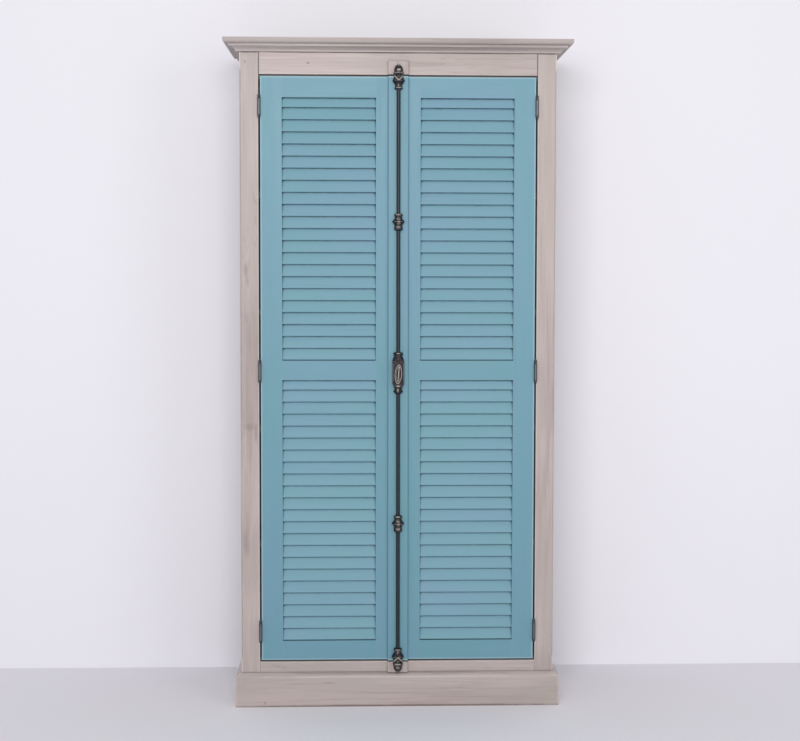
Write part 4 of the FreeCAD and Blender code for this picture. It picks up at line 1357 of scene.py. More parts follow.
    def swing(self, piece: bpy.types.Object, angle: float, centre: Vector) -> None:
        """Turn a piece in the plane of the doors and settle the turn in its mesh.

        Args:
            piece: The piece.
            angle: Angle in radians.
            centre: A point of the front-to-back axis.
        """
        self.hold(piece)
        bpy.ops.transform.rotate(value=angle, orient_axis="Y", center_override=centre)
        bpy.ops.object.transform_apply(location=True, rotation=True, scale=True)

    def shift(self, piece: bpy.types.Object, step: Vector) -> None:
        """Move a piece and settle the move in its mesh.

        Args:
            piece: The piece.
            step: The move.
        """
        self.hold(piece)
        bpy.ops.transform.translate(value=step)
        bpy.ops.object.transform_apply(location=True, rotation=True, scale=True)

    def smooth(self, piece: bpy.types.Object, degrees: float = 38.0) -> None:
        """Shade a piece smoothly except across sharp edges."""
        self.hold(piece)
        bpy.ops.object.shade_smooth_by_angle(angle=math.radians(degrees))


def bell(distance: float, width: float = 1.0) -> float:
    """Return a soft bump: one at no distance, nothing at the width and beyond."""
    share = min(abs(distance) / width, 1.0)
    return (1 - share * share) ** 2


# ------------------------------------------------------------------ cremone bolt
@dataclass
class Casting:
    """Base of the castings: their finish, the strip's face behind them and the rods' axis."""

    bench: Bench
    shop: Paintshop
    finish: Finish = BRONZE_GUIDE
    strip_face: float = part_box("cover_strip")[0].y
    rod_y: float = (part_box("lower_rod")[0].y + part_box("lower_rod")[1].y) / 2

    def deliver(self, piece: bpy.types.Object, body: str, *nodes: str,
                finish: Finish | None = None) -> None:
        """Dress a finished casting and put it in the place of its CAD nodes.

        Args:
            piece: The casting.
            body: Body that carries it.
            *nodes: CAD nodes that it stands for.
            finish: Its finish, where it isn't the class's own.
        """
        self.bench.smooth(piece)
        piece.data.materials.clear()
        piece.data.materials.append(self.shop.material(finish or self.finish))
        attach(piece, body)
        if nodes:
            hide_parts(*nodes)
        LOG.info("%s: %d faces", piece.name, len(piece.data.polygons))


@dataclass
class EndGuides(Casting):
    """Vase-shaped guides at the ends of the strip, with a notched collar at the mouth."""

    outline: tuple[Ring, ...] = (
        Ring(0.325, 0.0, 0.6), Ring(0.70, 0.0, 0.6), Ring(0.76, 0.03), Ring(0.74, 0.10),
        Ring(0.80, 0.20), Ring(0.93, 0.30), Ring(1.0, 0.36, 0.7), Ring(0.96, 0.41),
        Ring(0.78, 0.52), Ring(0.60, 0.62), Ring(0.54, 0.68), Ring(0.53, 0.72),
        Ring(0.58, 0.75), Ring(0.58, 0.79), Ring(0.53, 0.82), Ring(0.62, 0.86),
        Ring(0.70, 0.89), Ring(0.70, 0.93), Ring(0.60, 0.97), Ring(0.46, 1.0, 0.5),
        Ring(0.325, 1.0, 0.6))
    collar_reach: float = 14.5
    collar_spread: float = 12.0
    collar_slope: float = 0.64
    collar_width: float = 2.3
    collar_height: float = 1.5
    collar_mouth: float = 0.4
    collar_front: float = -4.0
    notch_depth: float = 2.2
    notch_slope: float = 2.0

    def build(self) -> None:
        """Model the upper guide and turn a copy of it over for the lower one."""
        low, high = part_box("guide_top")
        station = Station(Vector((0, self.rod_y, high.z)), -1)
        guide = self.bench.turn("guide_top_casting", self.outline, high.x, high.z - low.z,
                                station)
        self.bench.round_off(guide)

        def line(point: Vector) -> float:
            """Measure how far a point lies past the edge of the collar's notch.

            Args:
                point: A point of the surface.

            Returns:
                The distance in millimetres, without end away from the collar.
            """
            place = station.local(point)
            if place.y >= self.collar_front or place.z <= self.collar_mouth:
                return math.inf
            edge = self.collar_reach * (1 - abs(place.x) / self.collar_spread)
            return (place.z - edge) * self.collar_slope

        self.bench.relief(guide, -self.notch_depth,
                          lambda point: min(max(-line(point) / self.notch_slope, 0.0), 1.0))
        self.bench.relief(guide, self.collar_height,
                          lambda point: bell(line(point), self.collar_width))
        self.bench.flatten(guide, self.strip_face)
        lower = self.bench.copy(guide, "guide_bottom_casting")
        middle = (high.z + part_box("guide_bottom")[0].z) / 2
        self.bench.swing(lower, math.pi, Vector((0, self.rod_y, middle)))
        self.deliver(guide, "right_door", "guide_top")
        self.deliver(lower, "right_door", "guide_bottom")


@dataclass
class Keepers(Casting):
    """Bud-shaped keepers: a ring, a row of beads, a dome and three petals to a point."""

    finish: Finish = BRONZE_KEEPER
    outline: tuple[Ring, ...] = (
        Ring(0.41, 0.587, 1.0), Ring(0.41, 0.0, 0.8), Ring(0.84, 0.0, 0.6), Ring(0.96, 0.05),
        Ring(1.0, 0.10), Ring(0.97, 0.16), Ring(0.84, 0.19, 0.4), Ring(0.80, 0.25),
        Ring(0.78, 0.33), Ring(0.83, 0.42), Ring(0.82, 0.52), Ring(0.72, 0.64),
        Ring(0.54, 0.77), Ring(0.34, 0.89), Ring(0.12, 0.98), Ring(0.05, 1.0))
    lean_from: float = 19.5
    lean_curve: float = 1.2
    lean: float = 8.0
    low_lean: float = 1.0
    beads: int = 14
    bead_level: float = 7.6
    bead_width: float = 2.0
    bead_height: float = 1.1
    bead_radius: float = 10.0
    dome_level: float = 14.5
    dome_size: tuple[float, float] = (5.5, 3.2)
    dome_height: float = 1.6
    dome_front: float = -8.0
    groove_width: float = 1.2
    groove_depth: float = 1.5
    petal_level: float = 20.5
    petal_slope: float = 2.1
    petal_slant: float = 2.3
    petal_edge: tuple[float, float] = (0.8, 1.5)
    petal_height: float = 0.7

    def petal_line(self, place: Vector) -> float:
        """Distance above the edge between the front petal and the side ones."""
        rise = place.z - self.petal_level - self.petal_slope * abs(place.x)
        return rise / self.petal_slant

    def build(self) -> None:
        """Model the upper keeper and turn a copy of it over for the lower one."""
        low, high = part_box("keeper_top")
        station = Station(Vector((0, self.rod_y, low.z)))
        length = high.z - low.z
        keeper = self.bench.turn("keeper_top_casting", self.outline, high.x, length, station,
                                 bored=False)
        self.bench.round_off(keeper)

        def bead(point: Vector) -> float:
            """Measure the row of beads round the ring.

            Args:
                point: A point of the surface.

            Returns:
                Share of a bead's height.
            """
            place = station.local(point)
            if math.hypot(place.x, place.y) <= self.bead_radius:
                return 0.0
            turn = math.atan2(place.x, -place.y)
            round_bead = max(math.cos(turn * self.beads + math.pi), 0.0)
            return bell(place.z - self.bead_level, self.bead_width) * round_bead

        def dome(point: Vector) -> float:
            """Measure the dome on the front.

            Args:
                point: A point of the surface.

            Returns:
                Share of the dome's height.
            """
            place = station.local(point)
            width, height = self.dome_size
            away = math.hypot(place.x / width, (place.z - self.dome_level) / height)
            return bell(away) if place.y < self.dome_front else 0.0

        def front(point: Vector) -> Vector | None:
            """Place of a point, if it is on the front of the bud above the dome."""
            place = station.local(point)
            return place if place.y < 0.0 and place.z > self.dome_level else None

        def groove(point: Vector) -> float:
            """Share of the depth of the groove round the front petal."""
            place = front(point)
            return bell(self.petal_line(place), self.groove_width) if place else 0.0

        def petal(point: Vector) -> float:
            """Measure the front petal.

            Args:
                point: A point of the surface.

            Returns:
                Share of the petal's height.
            """
            place = front(point)
            start, width = self.petal_edge
            return min(max(self.petal_line(place) - start, 0.0) / width, 1.0) if place else 0.0

        self.bench.relief(keeper, self.bead_height, bead)
        self.bench.relief(keeper, self.dome_height, dome)
        self.bench.relief(keeper, -self.groove_depth, groove)
        self.bench.relief(keeper, self.petal_height, petal)
        rest = length / MM - self.lean_from
        lower = self.bench.copy(keeper, "keeper_bottom_casting")
        for piece, lean in ((keeper, self.lean), (lower, self.low_lean)):
            self.bench.relief(piece, lean, lambda point: max(
                (station.local(point).z - self.lean_from) / rest, 0.0) ** self.lean_curve, "Y")
            self.bench.flatten(piece, self.strip_face)
        middle = (low.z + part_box("keeper_bottom")[1].z) / 2
        self.bench.swing(lower, math.pi, Vector((0, self.rod_y, middle)))
        self.deliver(keeper, "carcase", "keeper_top")
        self.deliver(lower, "carcase", "keeper_bottom", finish=BRONZE_LOW_KEEPER)


@dataclass
class KnuckleGuides(Casting):
    """Turned guides with a sharp waist, a scroll under it and an oval bead below."""

    finish: Finish = BRONZE_KNUCKLE
    outline: tuple[Ring, ...] = (
        Ring(0.325, 0.0, 0.6), Ring(0.50, 0.0, 0.6), Ring(0.64, 0.03), Ring(0.69, 0.07),
        Ring(0.66, 0.12), Ring(0.57, 0.15), Ring(0.53, 0.18), Ring(0.57, 0.21),
        Ring(0.57, 0.235), Ring(0.54, 0.26), Ring(0.60, 0.30), Ring(0.70, 0.34),
        Ring(0.78, 0.38), Ring(0.90, 0.43), Ring(1.0, 0.465, 0.8), Ring(0.97, 0.49, 0.4),
        Ring(0.82, 0.54), Ring(0.68, 0.61), Ring(0.60, 0.68), Ring(0.59, 0.72),
        Ring(0.62, 0.78), Ring(0.68, 0.85), Ring(0.70, 0.90, 0.4), Ring(0.62, 0.945),
        Ring(0.42, 1.0, 0.5), Ring(0.325, 1.0, 0.6))
    front: float = -6.0
    scroll_level: float = 31.5
    scroll_radius: float = 3.9
    scroll_end: float = -0.5
    scroll_width: float = 1.5
    scroll_height: float = 1.3
    bead_level: float = 45.0
    bead_size: tuple[float, float] = (4.6, 6.0)
    bead_height: float = 1.9

    def build(self) -> None:
        """Model one guide and place a copy of it on each rod."""
        low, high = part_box("knuckle_guides")
        station = Station(Vector((0, self.rod_y, high.z)), -1)
        upper = self.bench.turn("knuckle_guide_castings", self.outline, high.x, KNUCKLE_LENGTH,
                                station)
        self.bench.round_off(upper)

        def scroll(point: Vector) -> float:
            """Measure the scroll, an open ring on the front.

            Args:
                point: A point of the surface.

            Returns:
                Share of the scroll's height.
            """
            place = station.local(point)
            across, down = place.x, place.z - self.scroll_level
            if place.y > self.front or (across < 0.0 and down < self.scroll_end):
                return 0.0
            return bell(math.hypot(across, down) - self.scroll_radius, self.scroll_width)

        def bead(point: Vector) -> float:
            """Measure the oval bead on the front.

            Args:
                point: A point of the surface.

            Returns:
                Share of the bead's height.
            """
            place = station.local(point)
            width, height = self.bead_size
            away = math.hypot(place.x / width, (place.z - self.bead_level) / height)
            return bell(away) if place.y < self.front else 0.0

        self.bench.relief(upper, self.scroll_height, scroll)
        self.bench.relief(upper, self.bead_height, bead)
        self.bench.flatten(upper, self.strip_face)
        lower = self.bench.copy(upper, "knuckle_guide_lower")
        self.bench.shift(lower, Vector((0, 0, low.z + KNUCKLE_LENGTH - high.z)))
        self.deliver(self.bench.join([upper, lower]), "right_door", "knuckle_guides")


@dataclass
class GearCase(Casting):
    """Cast box with a reeded border, hollow behind, and a turned neck at each end."""

    finish: Finish = BRONZE_CASE
    shoulder: float = 30.5
    top: float = 41.5
    foot: float = 41.5
    foot_width: float = 12.7
    face: float = 22.0
    rounding: float = 1.6
    border_steps: tuple[tuple[float, float], ...] = ((1.7, 0.0), (0.5, -0.9), (0.9, 0.0),
                                                     (0.7, 0.72))
    wall: float = 3.1
    hollow_depth: float = 17.5
    bore: float = 6.4
    boss: tuple[float, float] = (9.0, 2.5)
    boss_rounding: float = 0.8
    upper_neck: tuple[Ring, ...] = (
        Ring(0.42, -0.12, 0.6), Ring(0.86, -0.12), Ring(1.15, -0.02), Ring(1.15, 0.10),
        Ring(1.08, 0.24), Ring(0.97, 0.38), Ring(0.87, 0.50), Ring(0.82, 0.62),
        Ring(0.82, 0.69, 0.3), Ring(0.95, 0.74), Ring(1.03, 0.80), Ring(1.03, 0.90),
        Ring(0.94, 0.97), Ring(0.78, 1.0, 0.4), Ring(0.42, 1.0, 0.6))
    lower_neck: tuple[Ring, ...] = (
        Ring(0.42, -0.30, 0.6), Ring(0.80, -0.30), Ring(0.93, -0.14), Ring(0.93, 0.0),
        Ring(0.82, 0.12), Ring(0.75, 0.25), Ring(0.73, 0.40), Ring(0.79, 0.50),
        Ring(0.95, 0.57), Ring(1.02, 0.63, 0.4), Ring(0.98, 0.71), Ring(0.74, 0.86),
        Ring(0.52, 0.97), Ring(0.49, 1.0, 0.4), Ring(0.42, 1.0, 0.6))
    neck_radius: float = 15.2

    def build(self) -> None:
        """Model the box, its boss and its necks, and join them."""
        low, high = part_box("gear_case")
        knob_low, knob_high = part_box("spindle")
        centre = (knob_low.z + knob_high.z) / 2
        box = self.box(centre, high.x)
        necks = []
        for name, rings, start, flip, end in (
                ("case_upper_neck", self.upper_neck, centre + self.top * MM, 1, high.z),
                ("case_lower_neck", self.lower_neck, centre - self.foot * MM, -1, low.z)):
            station = Station(Vector((0, self.rod_y, start)), flip)
            neck = self.bench.turn(name, rings, self.neck_radius * MM, abs(end - start), station)
            self.bench.round_off(neck)
            self.bench.flatten(neck, self.strip_face)
            necks.append(neck)
        case = self.bench.join([box, self.boss_ring(centre), *necks])
        self.deliver(case, "right_door", "gear_case")

    def box(self, centre: float, half_width: float) -> bpy.types.Object:
        """Model the box with its tapered foot, bordered face and hollow back.

        Args:
            centre: Height of the spindle.
            half_width: Half the width of the box.

        Returns:
            The box.
        """
        front = self.strip_face - self.face * MM
        top, shoulder = centre + self.top * MM, centre - self.shoulder * MM
        self.bench.clear()
        bpy.ops.mesh.primitive_cube_add(
            size=1, location=(0, (front + self.strip_face) / 2, (top + shoulder) / 2),
            scale=(2 * half_width, self.face * MM, top - shoulder))
        box = self.bench.named("gear_case_casting")
        self.bench.pick(box, "FACE", lambda place, normal: normal.z < -0.9)
        drop = (self.foot - self.shoulder) * MM
        bpy.ops.mesh.extrude_region_move(TRANSFORM_OT_translate={"value": (0, 0, -drop)})
        bpy.ops.transform.resize(value=(self.foot_width * MM / half_width, 1, 1),
                                 center_override=(0, front, shoulder - drop))
        bpy.ops.object.mode_set(mode="OBJECT")
        self.bench.pick(box, "EDGE", lambda place, way: place.y < front + 0.1 * MM
                        and (abs(place.x) > 1 * MM or abs(place.z - shoulder) > 1 * MM))
        bpy.ops.mesh.bevel(offset=self.rounding * MM, segments=3, affect="EDGES")
        bpy.ops.object.mode_set(mode="OBJECT")
        self.bench.pick(box, "FACE", lambda place, normal: normal.y < -0.999)
        for thickness, depth in self.border_steps:
            bpy.ops.mesh.inset(thickness=thickness * MM, depth=depth * MM)
        bpy.ops.object.mode_set(mode="OBJECT")
        self.bench.pick(box, "FACE", lambda place, normal: normal.y > 0.999)
        bpy.ops.mesh.inset(thickness=self.wall * MM, depth=0)
        bpy.ops.mesh.extrude_region_move(
            TRANSFORM_OT_translate={"value": (0, -self.hollow_depth * MM, 0)})
        bpy.ops.object.mode_set(mode="OBJECT")
        self.bore_through(box, centre)
        return box

    def bore_through(self, box: bpy.types.Object, centre: float) -> None:
        """Bore the ends of the box for the rods.

        Args:
            box: The box.
            centre: Height of the spindle.
        """
        self.bench.clear()
        bpy.ops.mesh.primitive_cylinder_add(vertices=48, radius=self.bore * MM,
                                            depth=4 * self.top * MM,
                                            location=(0, self.rod_y, centre))
        cutter = self.bench.named("bore_cutter")
        modifier = box.modifiers.new("bore", "BOOLEAN")
        modifier.operation = "DIFFERENCE"
        modifier.object = cutter
        self.bench.settle(box, modifier)
        bpy.data.objects.remove(cutter)

    def boss_ring(self, centre: float) -> bpy.types.Object:
        """Model the raised ring round the spindle.

        Args:
            centre: Height of the spindle.

        Returns:
            The ring.
        """
        radius, height = self.boss
        front = self.strip_face - self.face * MM
        self.bench.clear()
        bpy.ops.mesh.primitive_cylinder_add(
            vertices=64, radius=radius * MM, depth=2 * height * MM,
            location=(0, front, centre), rotation=(math.pi / 2, 0, 0))
        boss = self.bench.named("case_boss")
        self.bench.pick(boss, "FACE", lambda place, normal: normal.y < -0.9)
        bpy.ops.mesh.bevel(offset=self.boss_rounding * MM, segments=3, affect="EDGES")
        bpy.ops.object.mode_set(mode="OBJECT")
        return boss


@dataclass
class Knob(Casting):
    """Leaf-shaped turn with a raised rim, a sunk field and a ridge down its middle."""

    finish: Finish = BRONZE_KNOB
    sides: int = 64
    plate: float = 8.5
    stem: float = 9.0
    stem_radius: float = 7.0
    stem_rise: float = 0.6
    stem_crease: float = 0.9
    tilt: float = 4.0
    half_width: float = 12.2
    half_height: float = 32.0
    front_steps: tuple[tuple[float, float, float], ...] = (
        (0.94, 0.975, 1.4), (0.84, 0.93, 0.9), (0.76, 0.88, -0.6), (0.66, 0.80, -2.7),
        (0.47, 0.72, -0.6), (0.31, 0.64, 1.2), (0.14, 0.52, 2.4), (0.04, 0.40, 1.0))
    back_steps: tuple[tuple[float, float, float], ...] = ((0.93, 0.97, 0.9), (0.75, 0.80, 0.6))

    def leaf(self, along: float) -> float:
        """Share of an ellipse's width, at a share of its half height, that draws in the tips."""
        ellipse = math.sqrt(max(1 - along * along, 1e-6))
        return (3 * ellipse + math.cos(along * math.pi / 2)) / (4 * ellipse)

    def shape(self, centre: Vector, steps: tuple[tuple[float, float, float], ...],
              way: int) -> None:
        """Extrude the selected face in steps and bring each to its own outline.

        Args:
            centre: Middle of the knob.
            steps: Each step's share of the leaf's width and height, and its rise in millimetres.
            way: -1 to rise towards the front, 1 towards the back.
        """
        last_width = last_height = 1.0
        for width, height, rise in steps:
            bpy.ops.mesh.extrude_region_move(
                TRANSFORM_OT_translate={"value": (0, way * rise * MM, 0)})
            bpy.ops.transform.resize(value=(width / last_width, 1, height / last_height),
                                     center_override=centre)
            last_width, last_height = width, height

    def blank(self, centre: Vector, back: float) -> bpy.types.Object:
        """Make the flat leaf that the knob is raised from.

        Args:
            centre: Middle of the knob.
            back: Where the back of the leaf lies, from front to back.

        Returns:
            The leaf, one face.
        """
        self.bench.clear()
        bpy.ops.mesh.primitive_circle_add(vertices=self.sides, radius=self.half_height * MM,
                                          fill_type="NGON", location=(0, back, centre.z),
                                          rotation=(math.pi / 2, 0, 0))
        knob = self.bench.named("knob_casting")
        levels = sorted({round(vertex.co.z, 6) for vertex in knob.data.vertices})
        for level in levels:
            self.bench.pick(knob, "VERT", lambda place, way: abs(place.z - level) < 2e-6)
            share = self.leaf((level - centre.z) / (self.half_height * MM))
            width = share * self.half_width / self.half_height
            bpy.ops.transform.resize(value=(width, 1, 1), center_override=centre)
            bpy.ops.object.mode_set(mode="OBJECT")
        return knob

    def build(self) -> None:
        """Raise the rim, field and ridge from the leaf, then draw the stem out behind."""
        low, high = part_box("knob")
        centre = (low + high) / 2
        back = high.y - self.stem * MM
        knob = self.blank(centre, back)
        self.bench.pick(knob, "FACE", lambda place, normal: True)
        bpy.ops.mesh.extrude_region_move(
            TRANSFORM_OT_translate={"value": (0, -self.plate * MM, 0)})
        self.shape(centre, self.front_steps, -1)
        bpy.ops.mesh.select_all(action="SELECT")
        bpy.ops.mesh.normals_make_consistent(inside=False)
        bpy.ops.object.mode_set(mode="OBJECT")
        self.bench.pick(knob, "FACE", lambda place, normal: normal.y > 0.99)
        steps = (*self.back_steps, (self.stem_radius / self.half_width,
                                    self.stem_radius / self.half_height, self.stem_rise))
        self.shape(centre, steps, 1)
        bpy.ops.transform.tosphere(value=1.0)
        reached = sum(rise for _, _, rise in steps)
        for rise in (self.stem / 2 - reached, self.stem / 2):
            bpy.ops.mesh.extrude_region_move(
                TRANSFORM_OT_translate={"value": (0, rise * MM, 0)})
        bpy.ops.object.mode_set(mode="OBJECT")
        self.bench.pick(knob, "EDGE", lambda place, way: place.y > high.y - 0.01 * MM)
        bpy.ops.transform.edge_crease(value=self.stem_crease)
        bpy.ops.object.mode_set(mode="OBJECT")
        self.bench.round_off(knob)
        self.bench.swing(knob, -math.radians(self.tilt), centre)
        self.deliver(knob, "knob", "knob")


@dataclass
class Hinges(Casting):
    """Turned bands and vase tips on the hinge barrels.

    The knuckles are the distances from a hinge's joint to its upper and its lower tip.
    """

    finish: Finish = HINGE_IRON
    outline: tuple[Ring, ...] = (
        Ring(1.04, -0.20), Ring(1.13, -0.15), Ring(1.13, -0.05), Ring(1.04, 0.0),
        Ring(0.80, 0.08), Ring(0.72, 0.16), Ring(0.86, 0.28), Ring(1.0, 0.42),
        Ring(0.94, 0.56), Ring(0.66, 0.72), Ring(0.40, 0.84), Ring(0.42, 0.90),
        Ring(0.30, 0.98), Ring(0.08, 1.0))
    barrel_radius: float = 5.0
    upper_tip: float = 16.0
    lower_tip: float = 11.0
    knuckles: tuple[float, float] = (21.5, 30.5)

    def build(self) -> None:
        """Model one upper and one lower tip and place copies on all the hinges."""
        low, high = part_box("right_hinge_leaves")
        x = high.x - self.barrel_radius * MM
        y = low.y + self.barrel_radius * MM
        splits = self.splits()
        above = Station(Vector((x, y, splits[0] + self.knuckles[0] * MM)))
        below = Station(Vector((x, y, splits[0] - self.knuckles[1] * MM)), -1)
        top_tip = self.tip("hinge_tip_upper", above, self.upper_tip)
        low_tip = self.tip("hinge_tip_lower", below, self.lower_tip)
        for side, sign in (("right", 1), ("left", -1)):
            self.row(top_tip, f"{side}_hinge_tips", f"{side}_door", splits, (sign,), x)
        self.row(low_tip, "frame_hinge_tips", "carcase", splits, (1, -1), x)
        for piece in (top_tip, low_tip):
            bpy.data.objects.remove(piece)

    def splits(self) -> list[float]:
        """Find each hinge's joint from the ends of the pins.

        Returns:
            The heights of the joints, from the top.
        """
        heights = sorted({round(vertex.co.z, 4)
                          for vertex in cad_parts["hinge_pins"].data.vertices})
        pins = list(zip(heights[::2], heights[1::2]))
        rise = (self.knuckles[1] - self.knuckles[0]) / 2 * MM
        return [(low + high) / 2 + rise for low, high in pins][::-1]

    def tip(self, name: str, station: Station, length: float) -> bpy.types.Object:
        """Turn one tip with its band.

        Args:
            name: Name of the tip.
            station: Where the barrel ends and which way the tip points.
            length: Length of the tip in millimetres.

        Returns:
            The tip.
        """
        tip = self.bench.turn(name, self.outline, self.barrel_radius * MM, length * MM, station,
                              bored=False, sides=16)
        self.bench.round_off(tip, 1)
        return tip

    def row(self, pattern: bpy.types.Object, name: str, body: str, splits: list[float],
            signs: tuple[int, ...], x: float) -> None:
        """Place copies of a tip on the hinges of one or both sides and join them.

        Args:
            pattern: The tip that is copied, on the right-hand top hinge.
            name: Name of the joined piece.
            body: Body that carries it.
            splits: Height of each hinge's joint, from the top.
            signs: 1 for the right side, -1 for the left.
            x: Distance of the hinge line from the middle.
        """
        copies = []
        for sign in signs:
            for split in splits:
                twin = self.bench.copy(pattern, name)
                self.bench.shift(twin, Vector(((sign - 1) * x, 0, split - splits[0])))
                copies.append(twin)
        self.deliver(self.bench.join(copies), body)


@dataclass
class CremoneBolt:
    """The whole bolt: keepers, guides, gear case and knob."""

    bench: Bench
    shop: Paintshop

    def build(self) -> None:
        """Build the castings from the top down."""
        for kind in (Keepers, EndGuides, KnuckleGuides, GearCase, Knob):
            kind(self.bench, self.shop).build()


# ------------------------------------------------------------------ dressed CAD nodes
@dataclass
class Carcase:
    """The fixed case: frame, sides, shelves, back, plinth and crown."""

    left_stile: tuple[str, ...] = ("frame_stile_left",)
    right_stile: tuple[str, ...] = ("frame_stile_right",)
    blocks: tuple[str, ...] = ("keeper_block_top", "keeper_block_bottom")
    staves: tuple[str, ...] = ("side_left", "side_right", "back_boards")
    top_rail: tuple[str, ...] = ("frame_rail_top",)
    low_rail: tuple[str, ...] = ("frame_rail_bottom",)
    plinth: tuple[str, ...] = ("plinth_front",)
    across: tuple[str, ...] = ("back_bearer",)
    boards: tuple[str, ...] = ("bottom_panel", "top_panel", "shelf_1", "shelf_2", "shelf_3",
                               "shelf_4")
    crown: tuple[str, ...] = ("crown_board",)
    mould: tuple[str, ...] = ("crown_mould_front",)
    crown_sides: tuple[str, ...] = ("crown_mould_left", "crown_mould_right")
    inward: tuple[str, ...] = ("plinth_left", "plinth_right")
    steel: tuple[str, ...] = ("shelf_pegs", "hinge_pins", "hinge_frame_screws")

    def dress(self, shop: Paintshop) -> None:
        """Give each board the pine whose grain runs its way.

        Args:
            shop: The paintshop.
        """
        for names, finish in ((self.left_stile, PINE_LEFT_STILE),
                              (self.right_stile, PINE_RIGHT_STILE), (self.blocks, PINE_BLOCK),
                              (self.staves, PINE_STAVES), (self.top_rail, PINE_TOP_RAIL),
                              (self.low_rail, PINE_LOW_RAIL), (self.plinth, PINE_PLINTH),
                              (self.across, PINE_ACROSS), (self.boards, PINE_SHELF),
                              (self.crown, PINE_CROWN), (self.mould, PINE_MOULD),
                              (self.crown_sides, PINE_CROWN_SIDE),
                              (self.inward, PINE_INWARD), (self.steel, STEEL)):
            for name in names:
                shop.dress(name, finish)
        LOG.info("carcase dressed")


@dataclass
class Door:
    """One louvred leaf."""

    side: str
    upright: tuple[str, ...] = ("stile_outer", "stile_inner")
    across: tuple[str, ...] = ("rail_top", "rail_mid", "rail_bottom")
    slats: tuple[str, ...] = ("slats_upper", "slats_lower")

    def dress(self, shop: Paintshop) -> None:
        """Paint the leaf and blacken its screws.

        Args:
            shop: The paintshop.
        """
        for name in self.upright:
            shop.dress(f"{self.side}_{name}", PAINT_UPRIGHT)
        for name in self.across:
            shop.dress(f"{self.side}_{name}", PAINT_ACROSS)
        for name in self.slats:
            shop.dress(f"{self.side}_{name}", PAINT_SLATS)
        shop.dress(f"{self.side}_hinge_screws", STEEL)
        shop.dress(f"{self.side}_hinge_leaves", HINGE_IRON)
        LOG.info("%s door dressed", self.side)


# ------------------------------------------------------------------ studio
@dataclass(frozen=True)
class Lamp:
    """A rectangular soft lamp: its place, what it faces, its size and its power in watts."""

    name: str
    place: tuple[float, float, float]
    target: tuple[float, float, float]
    size: tuple[float, float]
    power: float
    colour: tuple[float, float, float]


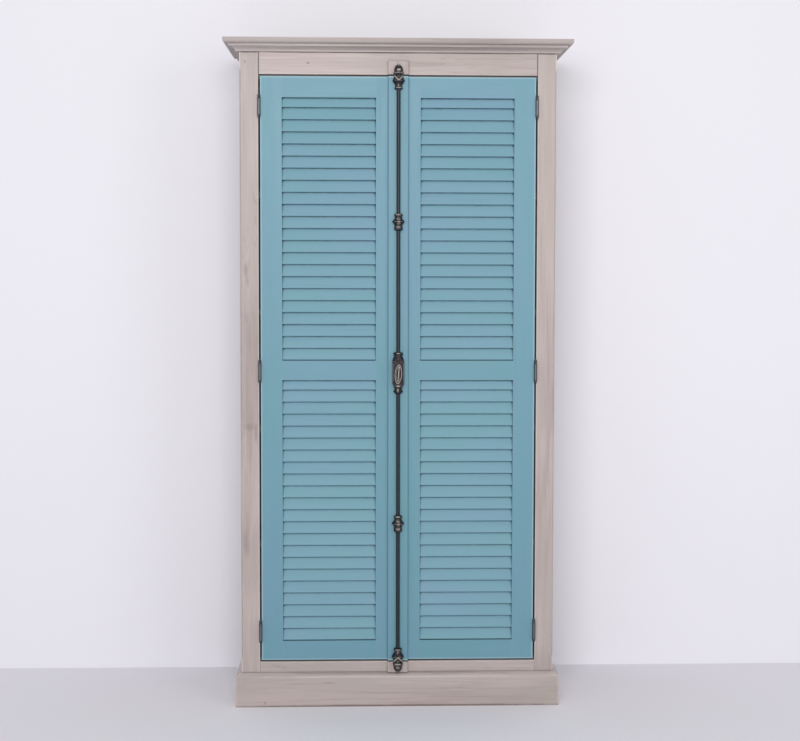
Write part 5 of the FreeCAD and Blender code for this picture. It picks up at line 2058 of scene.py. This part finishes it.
@dataclass
class Studio:
    """Pale floor and wall, soft lights, and the camera."""

    wall_gap: float = 0.12
    wall_width: float = 9.0
    wall_height: float = 5.0
    floor_depth: float = 9.0
    wall_colour: Rgba = tone(244, 243, 249)
    floor_colour: Rgba = tone(236, 235, 241)
    lamps: tuple[Lamp, ...] = (
        Lamp("key_lamp", (-0.4, -4.9, 2.4), (0.0, 0.0, 2.2), (2.4, 1.5), 113.0,
             (0.985, 0.99, 1.0)),
        Lamp("fill_lamp", (2.6, -3.8, 1.8), (0.0, 0.0, 1.2), (1.6, 2.2), 18.0,
             (1.0, 0.985, 0.97)))
    soft_colour: Rgba = (1.0, 0.985, 0.97, 1.0)
    soft_strength: float = 0.50
    seen_colour: Rgba = tone(238, 237, 242)
    eye: Vector = field(default_factory=lambda: Vector((-0.10098, -4.98710, 1.41423)))
    yaw: float = 0.0351
    pitch: float = -0.0566
    roll: float = 0.0023
    focal_pixels: float = 1539.74
    shift_pixels: tuple[float, float] = (-19.96, -22.68)
    frame_pixels: float = 800.0
    sensor: float = 36.0

    def plane(self, name: str, corners: list[Vector], colour: Rgba) -> bpy.types.Object:
        """Make one flat stage piece that shows only its front.

        Args:
            name: The piece's name.
            corners: Its corners, in order round its front.
            colour: Its colour.

        Returns:
            The new object.
        """
        mesh = bpy.data.meshes.new(name)
        mesh.from_pydata(corners, [], [range(len(corners))])
        piece = bpy.data.objects.new(name, mesh)
        bpy.context.scene.collection.objects.link(piece)
        material = bpy.data.materials.new(name)
        material.use_nodes = True
        material.node_tree.nodes.clear()
        tree = Tree(material.node_tree)
        matte = tree.add("ShaderNodeBsdfDiffuse", {"Color": colour})
        clear = tree.add("ShaderNodeBsdfTransparent")
        back = tree.add("ShaderNodeNewGeometry").outputs["Backfacing"]
        one_sided = tree.add("ShaderNodeMixShader", {0: back, 1: matte.outputs[0],
                                                     2: clear.outputs[0]})
        tree.add("ShaderNodeOutputMaterial", {"Surface": one_sided.outputs[0]})
        mesh.materials.append(material)
        return piece

    def build_room(self) -> None:
        """Make the floor and the wall just behind the cabinet."""
        half = self.wall_width / 2
        back = CAD_BOX[1].y + self.wall_gap
        self.plane("stage_floor", [Vector((-half, back - self.floor_depth, 0)),
                                   Vector((half, back - self.floor_depth, 0)),
                                   Vector((half, back, 0)), Vector((-half, back, 0))],
                   self.floor_colour)
        self.plane("stage_wall", [Vector((-half, back, 0)), Vector((half, back, 0)),
                                  Vector((half, back, self.wall_height)),
                                  Vector((-half, back, self.wall_height))],
                   self.wall_colour)

    def hang(self, lamp: Lamp) -> None:
        """Add a lamp's area light.

        Args:
            lamp: The lamp.
        """
        data = bpy.data.lights.new(lamp.name, "AREA")
        data.shape = "RECTANGLE"
        data.size, data.size_y = lamp.size
        data.energy = lamp.power
        data.color = lamp.colour
        piece = bpy.data.objects.new(lamp.name, data)
        piece.location = lamp.place
        ahead = Vector(lamp.target) - Vector(lamp.place)
        piece.rotation_euler = ahead.to_track_quat("-Z", "Y").to_euler()
        bpy.context.scene.collection.objects.link(piece)

    def build_lights(self) -> None:
        """Add the lamps and the world's soft light."""
        for lamp in self.lamps:
            self.hang(lamp)
        world = bpy.data.worlds.new("studio_world")
        bpy.context.scene.world = world
        world.use_nodes = True
        world.node_tree.nodes.clear()
        tree = Tree(world.node_tree)
        soft = tree.add("ShaderNodeBackground", {"Color": self.soft_colour,
                                                 "Strength": self.soft_strength})
        seen = tree.add("ShaderNodeBackground", {"Color": self.seen_colour, "Strength": 1.0})
        path = tree.add("ShaderNodeLightPath").outputs
        direct = tree.math("MAXIMUM", path["Is Camera Ray"],
                           tree.math("MAXIMUM", path["Is Glossy Ray"],
                                     path["Is Transmission Ray"]))
        mixed = tree.add("ShaderNodeMixShader", {0: direct, 1: soft.outputs[0],
                                                 2: seen.outputs[0]})
        tree.add("ShaderNodeOutputWorld", {"Surface": mixed.outputs[0]})
        bpy.context.scene.view_settings.view_transform = "Standard"

    def build_camera(self) -> None:
        """Set up the camera from its fitted place, turn and focal length."""
        ahead = Vector((math.sin(self.yaw) * math.cos(self.pitch),
                        math.cos(self.yaw) * math.cos(self.pitch), math.sin(self.pitch)))
        right = Vector((math.cos(self.yaw), -math.sin(self.yaw), 0.0))
        up = right.cross(ahead)
        rolled_right = math.cos(self.roll) * right + math.sin(self.roll) * up
        rolled_up = math.cos(self.roll) * up - math.sin(self.roll) * right
        data = bpy.data.cameras.new("front_camera")
        data.sensor_fit = "HORIZONTAL"
        data.sensor_width = self.sensor
        data.lens = self.focal_pixels * self.sensor / self.frame_pixels
        data.shift_x = self.shift_pixels[0] / self.frame_pixels
        data.shift_y = self.shift_pixels[1] / self.frame_pixels
        camera = bpy.data.objects.new("front_camera", data)
        turn = Matrix((rolled_right, rolled_up, -ahead)).transposed()
        camera.matrix_world = Matrix.Translation(self.eye) @ turn.to_4x4()
        bpy.context.scene.collection.objects.link(camera)
        bpy.context.scene.camera = camera

    def build(self) -> None:
        """Build the whole studio."""
        self.build_room()
        self.build_lights()
        self.build_camera()
        LOG.info("studio ready")


def main() -> None:
    """Dress the cabinet, then build the studio."""
    logging.basicConfig(level=logging.INFO, format="%(message)s")
    shop = Paintshop()
    Carcase().dress(shop)
    for side in ("left", "right"):
        Door(side).dress(shop)
    shop.dress("cover_strip", PAINT_UPRIGHT)
    shop.dress("hinge_frame_leaves", HINGE_IRON)
    for name in ("gear_case_screws", "spindle", "pinion", "upper_rod", "lower_rod"):
        shop.dress(name, STEEL)
    bench = Bench()
    CremoneBolt(bench, shop).build()
    Hinges(bench, shop).build()
    Studio().build()


if __name__ == "__main__":
    main()
